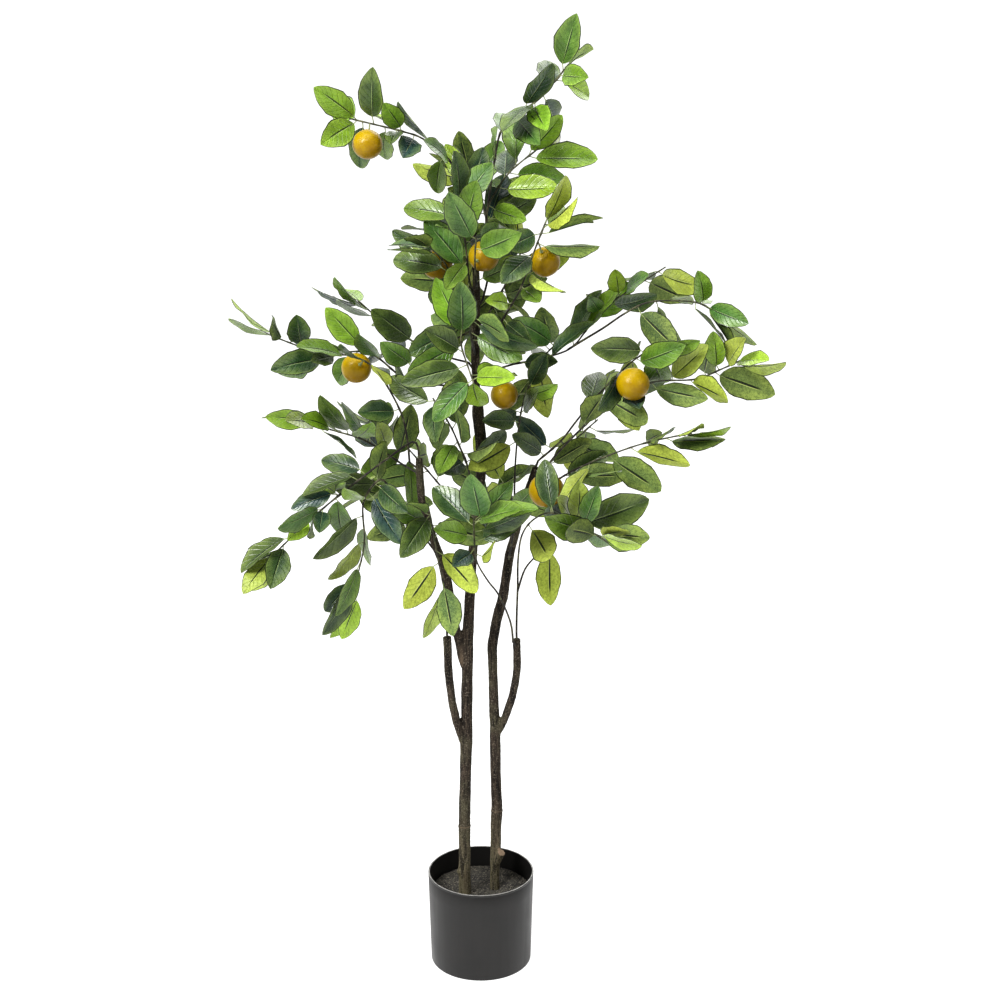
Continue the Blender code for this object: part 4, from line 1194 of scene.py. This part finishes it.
def make_leaf_top():
    """Satin film over print: pressed side veins, a fine pale midrib, and painted shade along one side of it.
    """
    top, add = new_material("coated_leaf_upper_side", 0.3, ior=1.48)
    (sided, across), (cloud, weave, mottle), (veins, outer, rib) = leaf_patterns(add, 0.16)
    tone = add("tone")
    deep = add("mix", 0.72, tone, "#0d1c0c")
    light = add("mix", 0.32, tone, "#b6c968")
    # Painted shade: a dark line in the crease along one side of the midrib, where the raised rib shades the
    # blade.
    fold = add("remap", add("ABSOLUTE", add("SUBTRACT", sided, 0.075)), 0.03, 0.075, 0.9, 0.0)
    line = add("remap", across, 0.014, 0.036, 0.70, 0.0)
    colour = lay_over(add, tone,
                      (add("remap", cloud, 0.38, 0.60, 0.42, 0.0), deep),
                      (add("MULTIPLY", outer, 0.55), light),
                      (add("remap", mottle, 0.40, 0.56, 0.34, 0.0), deep),
                      (add("MULTIPLY", veins, 0.20), deep),
                      (add("MULTIPLY", fold, rib), "#10200d"),
                      (add("MULTIPLY", line, rib), add("mix", 0.42, tone, "#ccdc98")),
                      (add("remap", across, 0.80, 0.88, 0.0, 0.5), light),
                      (add("remap", across, *DARK_EDGE_LINE), "#111c0c"))
    height = add("SUBTRACT", add("remap", across, 0.02, 0.12), add("MULTIPLY", veins, 0.6))
    height = add("ADD", height, add("MULTIPLY", weave, 0.08))
    return lead(top, {"Base Color": colour, "Roughness": add("remap", weave, 0.3, 0.7, 0.24, 0.36),
                      "Normal": add("bump", height, TOP_RELIEF)})


def make_leaf_under():
    """The print on the back: dull, dark by the midrib and bright outside, mottled by the cloth."""
    under, add = new_material("printed_leaf_underside", 0.55, ior=1.46, specular=0.2)
    (sided, across), (_, weave, mottle), (veins, outer, rib) = leaf_patterns(add, 0.14)
    tone = add("tone")
    net = add("net", add("place"), 1.0 / NET_CELL)
    deep = add("mix", 0.62, tone, "#13240e")
    light = add("mix", 0.38, tone, "#c0cf60")
    # Painted highlight: a pale line along one side of the dark midrib, where the raised rib catches the
    # light.
    rib_highlight = add("remap", add("ABSOLUTE", add("ADD", sided, 0.08)), 0.02, 0.05, 0.5, 0.0)
    line = add("remap", across, 0.050, 0.085, 1.0, 0.0)
    colour = lay_over(add, add("mix", 0.35, tone, deep),
                      (add("MULTIPLY", outer, 0.8), light),
                      (add("remap", mottle, 0.42, 0.54, 0.68, 0.0), deep),
                      (add("remap", mottle, 0.56, 0.66, 0.0, 0.45), light),
                      (add("remap", net, 0.04, 0.16, 0.30, 0.0), light),
                      (add("MULTIPLY", veins, 0.30), deep),
                      (add("MULTIPLY", rib_highlight, rib), "#cdd884"),
                      (add("MULTIPLY", line, rib), "#0c1208"),
                      (add("remap", across, *DARK_EDGE_LINE), "#131d0c"))
    height = add("ADD", add("MULTIPLY", veins, 0.8), add("MULTIPLY", weave, 0.6))
    return lead(under, {"Base Color": colour, "Normal": add("bump", height, UNDER_RELIEF)})


LEAF_TOP = make_leaf_top()
LEAF_UNDER = make_leaf_under()

# %% Tape and stalk finishes
DYES_PER_METRE = 120.0
RIPPLES_PER_METRE = 700.0
TAPE_RELIEF = 0.15 * MM


def make_wire_tape():
    """Paper tape wound on iron wire and dyed: brown at the wood, greener towards the tip."""
    tape, add = new_material("dyed_floral_tape", 0.66, ior=1.47)
    place = add("place")
    way = add("painted", attribute_name="way")
    dye = add("noise", place, DYES_PER_METRE, 3.0)
    colour = lay_over(add, "#1e1814",
                      (add("remap", way, 0.35, 1.0), "#3b3e29"),
                      (add("remap", dye, 0.45, 0.70, 0.0, 0.45), "#83815f"))
    ripple = add("noise", place, RIPPLES_PER_METRE)
    return lead(tape, {"Base Color": colour, "Normal": add("bump", ripple, TAPE_RELIEF)})


def make_stalk_plastic():
    """Moulded polyethylene clips: waxy, pale at the wire and dark where they back the blade."""
    stalk, add = new_material("moulded_stalk", 0.5, ior=1.51)
    way = add("painted", attribute_name="way")
    colour = lay_over(add, "#6c6c50",
                      (add("remap", way, 0.1, 0.6), "#8d9b62"),
                      (add("remap", way, 0.95, 1.15), "#26321a"))
    return lead(stalk, {"Base Color": colour})


SPRAY_FINISHES = [LEAF_TOP, LEAF_UNDER, make_wire_tape(), make_stalk_plastic()]
TOP, UNDER, TAPE, STALK = range(4)

# %% [markdown]
# ## One leaf
#
# A blade could be a flat card with a picture of a leaf, but its outline and its curl would then
# be missing from every side. Here it is a small grid: its columns spread from the midrib by the
# leaf's outline, its rows follow the arch, and the edges rise into a fold and ripple a little. It
# is then thickened to 0.5 mm, and the faces of the two sides get their own finish.

# %% Tones of the leaves
# The Yellowish tones are partly the leaves' own colour and partly painted light: they are kept bright to
# stand in for light shining through thin leaves.
TOP_TONES = {"D": ("#324e2c", "#3e5732", "#2e4b48", "#465a2a", "#2f4a36"),
             "M": ("#5c7f2c", "#6a8931", "#4f7535"),
             "F": ("#8cb032", "#7fa532", "#9cbc3b"),
             "Y": ("#acbc56", "#a0b255")}
UNDER_TONES = {"D": ("#5a6d40", "#4f643d"),
               "M": ("#72874e", "#67804d"),
               "F": ("#94ab5c", "#88a05a"),
               "Y": ("#b3c252", "#a9b855")}
TONE_SPREAD = 0.16
RED_SPREAD = (0.94, 1.06)


def leaf_tones(draw, tone):
    """Linear colours of a leaf's upper side and underside."""
    light = 1 + draw.uniform(-TONE_SPREAD, TONE_SPREAD)
    pair = []
    for choices in (TOP_TONES, UNDER_TONES):
        red, green, blue, _ = linear(draw.choice(choices[tone.upper()]))
        pair.append((red * light * draw.uniform(*RED_SPREAD), green * light, blue * light, 1.0))
    return pair


print("tones", sum(len(choices) for choices in TOP_TONES.values()))

# %% Blade
BLADE_COLUMNS = 6
BLADE_ROWS = 12
BLADE_THICKNESS = 0.5 * MM
ROOT_SHARE = 0.04
FOLD_POWER = 1.25
ROW_CROWDING = 0.65
# Powers of the outline: a low early one widens the blade near its root, a low full one rounds it
EARLY = (0.84, 1.0)
FULL = (0.60, 0.76)
EDGE_WAVE = 1.3 * MM
WAVE_COUNTS = (1.2, 2.6)
EDGE_JITTER = 0.035
JITTER_TURNS = 21
WELD = 0.02 * MM


def blade_share(t, early, full):
    """Half width of a blade at a share of its length, 1 where it is widest."""
    return max(ROOT_SHARE * (1 - t), math.sin(math.pi * t ** early) ** full)


def spread_blade(leaf, corner, outline, waves):
    """The place of a grid corner, given as x and y from -0.5 to 0.5, on the leaf."""
    level = corner.y + 0.5
    t = (1 - ROW_CROWDING) * level + ROW_CROWDING * (0.5 - 0.5 * math.cos(math.pi * level))
    across = 2 * corner.x
    side, top = leaf.frame(t)
    half = 0.5 * leaf.width * blade_share(t, *outline)
    phase, count, jitter = waves[0 if across < 0 else 1]
    ripple = EDGE_WAVE * across * across * math.sin(math.tau * count * t + phase) * math.sin(math.pi * t)
    half *= 1 + EDGE_JITTER * abs(across) * math.sin(jitter + JITTER_TURNS * t)
    rise = leaf.fold * half * abs(across) ** FOLD_POWER + ripple
    return leaf.middle(t) + side * half * across + top * rise


def add_blade(shape, layers, leaf, draw):
    """A thickened blade with its chart, its tones and a finish for each side."""
    waves = [(draw.uniform(0, math.tau), draw.uniform(*WAVE_COUNTS), draw.uniform(0, 6))
             for _ in range(2)]
    outline = (draw.uniform(*EARLY), draw.uniform(*FULL))
    top_tone, under_tone = leaf_tones(draw, leaf.tone)
    grid = bmesh.ops.create_grid(shape, x_segments=BLADE_COLUMNS, y_segments=BLADE_ROWS, size=0.5)["verts"]
    faces = list({face for vert in grid for face in vert.link_faces})
    for face in faces:
        face.material_index = TOP
        for loop in face.loops:
            loop[layers["chart"]].uv = (loop.vert.co.x + 0.5, loop.vert.co.y + 0.5)
    for vert in grid:
        vert[layers["tone"]] = top_tone
        vert.co = spread_blade(leaf, vert.co, outline, waves)
    bmesh.ops.remove_doubles(shape, verts=grid, dist=WELD)
    faces = [face for face in faces if face.is_valid]
    made = bmesh.ops.solidify(shape, geom=faces, thickness=BLADE_THICKNESS)["geom"]
    for item in made:
        if isinstance(item, bmesh.types.BMFace):
            item.material_index = UNDER
            for vert in item.verts:
                vert[layers["tone"]] = under_tone


print("blade of", BLADE_COLUMNS, "by", BLADE_ROWS, "faces to a side")

# %% Stalk
RIB_END = 0.68
RIB_STEPS = 4
RIB_TIP_RADIUS = 0.16 * MM
STALK_SIDES = 5
STALK_RADIUS = 0.62 * MM
# How far along the stalk's colours go: at the wire, half way, at the blade and under it
STALK_WAYS = [0.0, 0.5, 0.9] + [1.2] * RIB_STEPS


def add_stalk(shape, layers, leaf, root):
    """The stalk from the wire, which runs on under the blade as its midrib."""
    top = leaf.frame(0.0)[1]
    points = [root, root.lerp(leaf.base, 0.5) - top * 0.4 * MM, leaf.base - top * 0.2 * MM]
    radii = [1.15 * STALK_RADIUS, 0.9 * STALK_RADIUS, STALK_RADIUS]
    for step in range(1, RIB_STEPS + 1):
        t = RIB_END * step / RIB_STEPS
        points.append(leaf.middle(t) - leaf.frame(t)[1] * (BLADE_THICKNESS + 0.1 * MM))
        radii.append(STALK_RADIUS + (RIB_TIP_RADIUS - STALK_RADIUS) * step / RIB_STEPS)
    add_tube(shape, points, radii, STALK_SIDES, STALK, STALK_WAYS, layers["way"])


print("stalk radius", STALK_RADIUS / MM, "mm")

# %% [markdown]
# ## Smaller leaves between the others
#
# The solid model has only as many leaves as its count of faces allows. The real tree has smaller
# ones between them, mostly where the branches end. They are added here in the same notation. Each
# is swung, try by try, until its blade meets nothing, and one that finds no room is left out.

# %% Words of the smaller leaves
SMALL_LEAVES = {
    "crown_left": "72F21t 74D13t 24F21 21D1 45M13s",
    "crown_side": "45M14s 62D6t",
    "crown_right": "93F3 58F8s 46M15s 68M22t",
    "crown_right_twig": "70F11s 44M1s 90F7s",
    "right_ball": "97D6e 88D16s 30D9s 42F18t 55M9t",
    "left_ball_high": "95F18s 60M14s",
    "left_high": "97D19e 60D16t",
    "left_long": "88D4t 54D9t 60M15s",
    "left_ball_low": "82D17t 35D18s",
    "left_spread": "97F18 92D8e",
    "left_low_long": "41D19 57F20s 57D17 66D12t 73F14t 97Y15",
    "left_hanging": "45D9s 91D14 97F14",
    "left_inner": "96D12s 62M14s 45D16t",
    "slender": "64D18s 68D16s 78D2s 30M3t",
    "front_left": "97F6s 70D20s",
    "right_top": "24D6s 30D3t 66M21t 77F23t",
    "right_top_twig": "91F1t 93M8s",
    "right_far": "89F23s",
    "right_ball_twig": "91D18b 12D20s 16D21",
    "right_low": "36D4 80m4t",
    "lower_right": "82D23s 86Y0s 89M1s",
    "centre_fan": "86M19s 75D16t",
    "left_stub_twig": "80M4t 90M20s",
    "back_crown": "50M20 62D5s 74M15 86F8s 97D1",
    "back_upper_left": "30D9s 48M15 60D4 72F21s 84M16 97D12s",
    "back_upper_right": "30M15s 46D8 58M20 70D3s 82M12 97F7s",
    "back_centre": "36M18 50D4s 64M12 80D20 97M7s",
    "back_right": "34D20 60D15 86F12s",
    "back_left": "34M15 60M20 86F14s",
    "back_low": "44M16 60D6s 76M12 95D20",
    "back_low_left": "44D8 60M16s 76D4 95M13",
}
print("words", sum(len(words.split()) for words in SMALL_LEAVES.values()))

# %% Room for a leaf
CLEAR = 0.7 * MM
GUARD_ROWS = (0.1, 0.3, 0.5, 0.7, 0.85, 1.0)
GUARD_OUTLINE = (0.9, 0.68)


def guard_blade(leaf):
    """Points and faces of two thin sheets just above and below where a blade will be."""
    verts = []
    faces = []
    for lift in (CLEAR, -CLEAR - BLADE_THICKNESS):
        start = len(verts)
        for t in GUARD_ROWS:
            side, top = leaf.frame(t)
            half = 0.5 * leaf.width * blade_share(t, *GUARD_OUTLINE) + CLEAR
            edge = top * leaf.fold * half
            middle = leaf.middle(t) + top * lift
            verts += [middle - side * half + edge, middle, middle + side * half + edge]
        for row in range(start, len(verts) - 3, 3):
            faces += [(row, row + 1, row + 4, row + 3), (row + 1, row + 2, row + 5, row + 4)]
    return verts, faces


def search_tree(verts, faces):
    """A search tree of faces with its box, the least and the most along each axis."""
    box = [(min(spot[axis] for spot in verts), max(spot[axis] for spot in verts)) for axis in range(3)]
    return BVHTree.FromPolygons(verts, faces), box


def meets(sheet, things):
    """Whether a search tree meets any of the others."""
    tree, box = sheet
    for other, other_box in things:
        apart = any(low > other_high or high < other_low
                    for (low, high), (other_low, other_high) in zip(box, other_box))
        if not apart and tree.overlap(other):
            return True
    return False


print("a smaller leaf keeps", CLEAR / MM, "mm clear")

# %% Smaller leaves
SMALLER = 0.84
SMALL_TRIES = 60


def add_small_leaves():
    """The first try at each smaller leaf that meets no solid and no other small leaf."""
    things = []
    for solid in frame["nodes"].values():
        points = [vert.co.copy() for vert in solid.data.vertices]
        things.append(search_tree(points, [tuple(face.vertices) for face in solid.data.polygons]))
    added = []
    for wire in WIRES:
        for index, word in enumerate(SMALL_LEAVES.get(wire.name, "").split()):
            draw = random.Random(f"small {wire.name} {word} {index}")
            for attempt in range(SMALL_TRIES):
                leaf = draw_leaf(wire, word, draw, attempt, SMALLER)
                sheet = search_tree(*guard_blade(leaf))
                if not meets(sheet, things):
                    things.append(sheet)
                    added.append(leaf)
                    break
    return added


SMALL = add_small_leaves()
print("smaller leaves", len(SMALL))

# %% [markdown]
# ## The sprays
#
# A branch with all its leaves is one spray. Its wire is finer here than in the solid model, with
# a small collar where each stalk is clipped on, and it fades from brown to green as the dye does.
# Each spray takes the place of its solid one.

# %% Sprays
FINE_STEP = 6.0 * MM
FINE_SIDES = 8
WIRE_FOOT_RADIUS = 1.4 * MM
WIRE_TIP_RADIUS = 0.8 * MM
COLLAR = 1.3


def nearest(route, place):
    """Distance and index of the point of a route that is nearest to a place."""
    return min(((point - place).length, index) for index, point in enumerate(route))


def fine_wire(wire):
    """Points and radii of a wire, which gets thinner towards its tip."""
    route = smooth_route(wire.route, FINE_STEP)
    count = len(route) - 1
    return route, [WIRE_FOOT_RADIUS + (WIRE_TIP_RADIUS - WIRE_FOOT_RADIUS) * index / count
                   for index in range(count + 1)]


def make_spray(name):
    """A branch with its leaves, their stalks and collars, and the stalk of its fruit."""
    shape = bmesh.new()
    layers = {"chart": shape.loops.layers.uv.new("blade"),
              "tone": shape.verts.layers.float_color.new("tone"),
              "way": shape.verts.layers.float.new("way")}
    draw = random.Random("blades of " + name)
    wires = [fine_wire(wire) for wire in WIRES if wire.owner == name]
    for leaf in LEAVES + SMALL:
        if leaf.owner == name:
            route, radii = min(wires, key=lambda pair: nearest(pair[0], leaf.root)[0])
            _, index = nearest(route, leaf.root)
            radii[index] = max(radii[index], COLLAR * radii[min(index + 1, len(radii) - 1)])
            add_blade(shape, layers, leaf, draw)
            add_stalk(shape, layers, leaf, route[index])
    for route, radii in wires:
        values = [index / (len(route) - 1) for index in range(len(route))]
        add_tube(shape, route, radii, FINE_SIDES, TAPE, values, layers["way"])
    add_fruit_stalks(shape, layers, name)
    finish_piece("branch_" + name, shape, SPRAY_FINISHES, ["spray_" + name], sharp=60.0)


print("wire radius", WIRE_FOOT_RADIUS / MM, "to", WIRE_TIP_RADIUS / MM, "mm")

# %% [markdown]
# ## The fruits
#
# The fruits are foam balls with a painted skin, each pushed onto the end of a short stalk. A
# real one is not quite round: it is a little flat at the poles, has a dimple at the stalk and
# slow swells. So a fine ball is pushed in and out by a formula. The skin is yellow, with an
# orange blush and painted shade on its lower side, away from the key light; a vertex value
# holds both.

# %% Fruit places
# The branch that each fruit hangs from, its centre and its radius in millimetres
FRUITS = {
    "fruit_crown_left": ("crown_left", (-128, -22, 1067), 17.5),
    "fruit_left_high": ("left_ball_high", (-49, -18, 927), 18.0),
    "fruit_front": ("front_ball", (6, -38, 940), 18.0),
    "fruit_right_high": ("right_ball", (78, -18, 930), 18.0),
    "fruit_left_low": ("left_ball_low", (-146, -30, 805), 18.0),
    "fruit_centre": ("slender", (30, -30, 772), 17.0),
    "fruit_right": ("right_ball_twig", (180, -80, 797), 19.5),
    "fruit_low_right": ("lower_right", (80, -84, 669), 21.0),
}
BUTTON_HEIGHT = 1.4 * MM
BUTTON_RADIUS = 3.2 * MM
# Where along its wire a fruit can hang, in per cent, and how it is drawn to hang below it
HANG_PLACES = range(20, 97)
HANG = Vector((0, 0, 10)) * MM
LEAST_HANG = 5 * MM


def fruit_stalk(branch, centre, radius):
    """The wire's nearest point above the fruit and the direction from the fruit to it."""
    spots = [along(wire.route, step / 100)[0] for wire in WIRES if wire.owner == branch
             for step in HANG_PLACES]
    clear = [spot for spot in spots if (spot - centre).length > radius + LEAST_HANG]
    best = min(clear, key=lambda spot: (spot - centre - HANG).length)
    return best, (best - centre).normalized()


def plan_fruits():
    """Each fruit's branch, centre, radius, the point that it hangs from and its axis."""
    planned = {}
    for name, (branch, centre, radius) in FRUITS.items():
        centre = Vector(centre) * MM
        radius *= MM
        planned[name] = (branch, centre, radius, *fruit_stalk(branch, centre, radius))
    return planned


FRUIT_PLACES = plan_fruits()
print("fruits", len(FRUIT_PLACES))

# %% Fruit stalks
CALYX_LOBES = 5
CALYX_THICKNESS = 0.5 * MM
CALYX_WAY = 0.3
FRUIT_STALK_SIDES = 6
FRUIT_STALK_RADII = [1.0 * MM, 0.9 * MM, 1.1 * MM, 1.3 * MM]
FRUIT_STALK_WAYS = [0.2, 0.3, 0.4, 0.5]
FRUIT_STALK_BEND = 0.6 * MM
POLE_LIFT = 0.2 * MM


def turned_to(axis, place):
    """A matrix that turns +Z to an axis and moves to a place."""
    return Matrix.Translation(place) @ Vector((0, 0, 1)).rotation_difference(axis).to_matrix().to_4x4()


def add_fruit_stalks(shape, layers, branch):
    """Each fruit's stalk, bent a little, with a five-lobed calyx that sits on the fruit."""
    for owner, centre, radius, point, axis in FRUIT_PLACES.values():
        if owner != branch:
            continue
        pole = centre + axis * (radius + POLE_LIFT)
        bend = point.lerp(pole, 0.5) + axis.orthogonal().normalized() * FRUIT_STALK_BEND
        add_tube(shape, [point, bend, pole + axis * BUTTON_HEIGHT, pole], FRUIT_STALK_RADII,
                 FRUIT_STALK_SIDES, STALK, FRUIT_STALK_WAYS, layers["way"])
        star = bmesh.ops.create_circle(shape, cap_ends=True, segments=2 * CALYX_LOBES,
                                       radius=BUTTON_RADIUS, matrix=Matrix.Identity(4))["verts"]
        for index, corner in enumerate(star):
            if index % 2:
                corner.co *= 0.5
            corner[layers["way"]] = CALYX_WAY
        faces = list({face for corner in star for face in corner.link_faces})
        for face in faces:
            face.material_index = STALK
        seat = turned_to(axis, pole + axis * CALYX_THICKNESS)
        bmesh.ops.transform(shape, matrix=seat, verts=star)
        bmesh.ops.solidify(shape, geom=faces, thickness=CALYX_THICKNESS)


print("calyx lobes", CALYX_LOBES)

# %% Peel colour
# Painted foam: paint over a soft skin gives a satin gloss with a small soft highlight. The pores
# of the peel are 1 mm across, and the paint varies slowly from yellow to orange.
PORE = 1.1 * MM
PEEL_CLOUDS_PER_METRE = 70.0
PEEL_RELIEF = 0.18 * MM


def make_peel():
    peel, add = new_material("painted_foam_peel", 0.3, ior=1.48, specular=0.3)
    place = add("place")
    cloud = add("noise", place, PEEL_CLOUDS_PER_METRE, 3.0)
    pores = add("pores", place, 1.0 / PORE)
    # The painted vertex value adds an orange blush and painted shade on the side away from the key light.
    shade = add("ADD", add("painted", attribute_name="blush"), add("remap", cloud, 0.3, 0.7, -0.18, 0.18))
    colour = lay_over(add, "#aa8d02",
                      (add("remap", shade, 0.1, 0.95), "#8a6b02"),
                      (add("remap", pores, 0.05, 0.25, 0.25, 0.0), "#96700a"))
    height = add("remap", pores, 0.0, 0.45)
    return lead(peel, {"Base Color": colour, "Normal": add("bump", height, PEEL_RELIEF)})


PEEL = make_peel()

# %% Fruits
FRUIT_SEGMENTS = 40
FRUIT_RINGS = 24
FLATNESS = 0.035
DIMPLE_DEPTH = 1.3 * MM
DIMPLE_ANGLE = 0.28
LOWER_DIMPLE = 0.4
SWELL = 0.45 * MM
SWELL_TURNS = 1.7
SWELL_SHIFT = 40
# The side where the orange blush and the painted shade are strongest: low, right and front, away from the key
# light
BLUSH_AND_SHADE_SIDE = Vector((0.55, -0.25, -0.8)).normalized()


def dimple(lean):
    """1 in the middle of a pole's dimple, from the cosine of the angle to the pole."""
    return math.exp(-(math.acos(max(-1.0, min(1.0, lean))) / DIMPLE_ANGLE) ** 2)


def make_fruit(name, centre, radius, axis):
    """A ball with flat poles, a dimple at each of them and slow swells."""
    shape = bmesh.new()
    blush = shape.verts.layers.float.new("blush")
    bmesh.ops.create_uvsphere(shape, u_segments=FRUIT_SEGMENTS, v_segments=FRUIT_RINGS, radius=radius)
    bmesh.ops.transform(shape, matrix=turned_to(axis, centre), verts=shape.verts)
    for vert in shape.verts:
        out = (vert.co - centre).normalized()
        lean = out.dot(axis)
        reach = radius * (1 - FLATNESS * lean * lean)
        reach += SWELL * noise.noise(out * SWELL_TURNS + centre * SWELL_SHIFT)
        reach -= DIMPLE_DEPTH * dimple(lean)
        reach -= LOWER_DIMPLE * DIMPLE_DEPTH * dimple(-lean)
        vert[blush] = 0.5 + 0.5 * out.dot(BLUSH_AND_SHADE_SIDE)
        vert.co = centre + out * reach
    finish_piece(name + "_painted", shape, [PEEL], [name], sharp=80.0)


for name, (_, centre, radius, _, axis) in FRUIT_PLACES.items():
    make_fruit(name, centre, radius, axis)

# %% Every spray
for name in list(BRANCHES) + list(BACK_BRANCHES):
    make_spray(name)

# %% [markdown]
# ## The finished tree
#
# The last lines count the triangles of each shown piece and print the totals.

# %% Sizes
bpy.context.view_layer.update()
triangles = {}
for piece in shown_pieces():
    if piece.type == "MESH":
        triangles[piece.name] = sum(len(face.vertices) - 2 for face in piece.data.polygons)
print("pieces", len(triangles), "triangles", sum(triangles.values()), "most", max(triangles.values()))
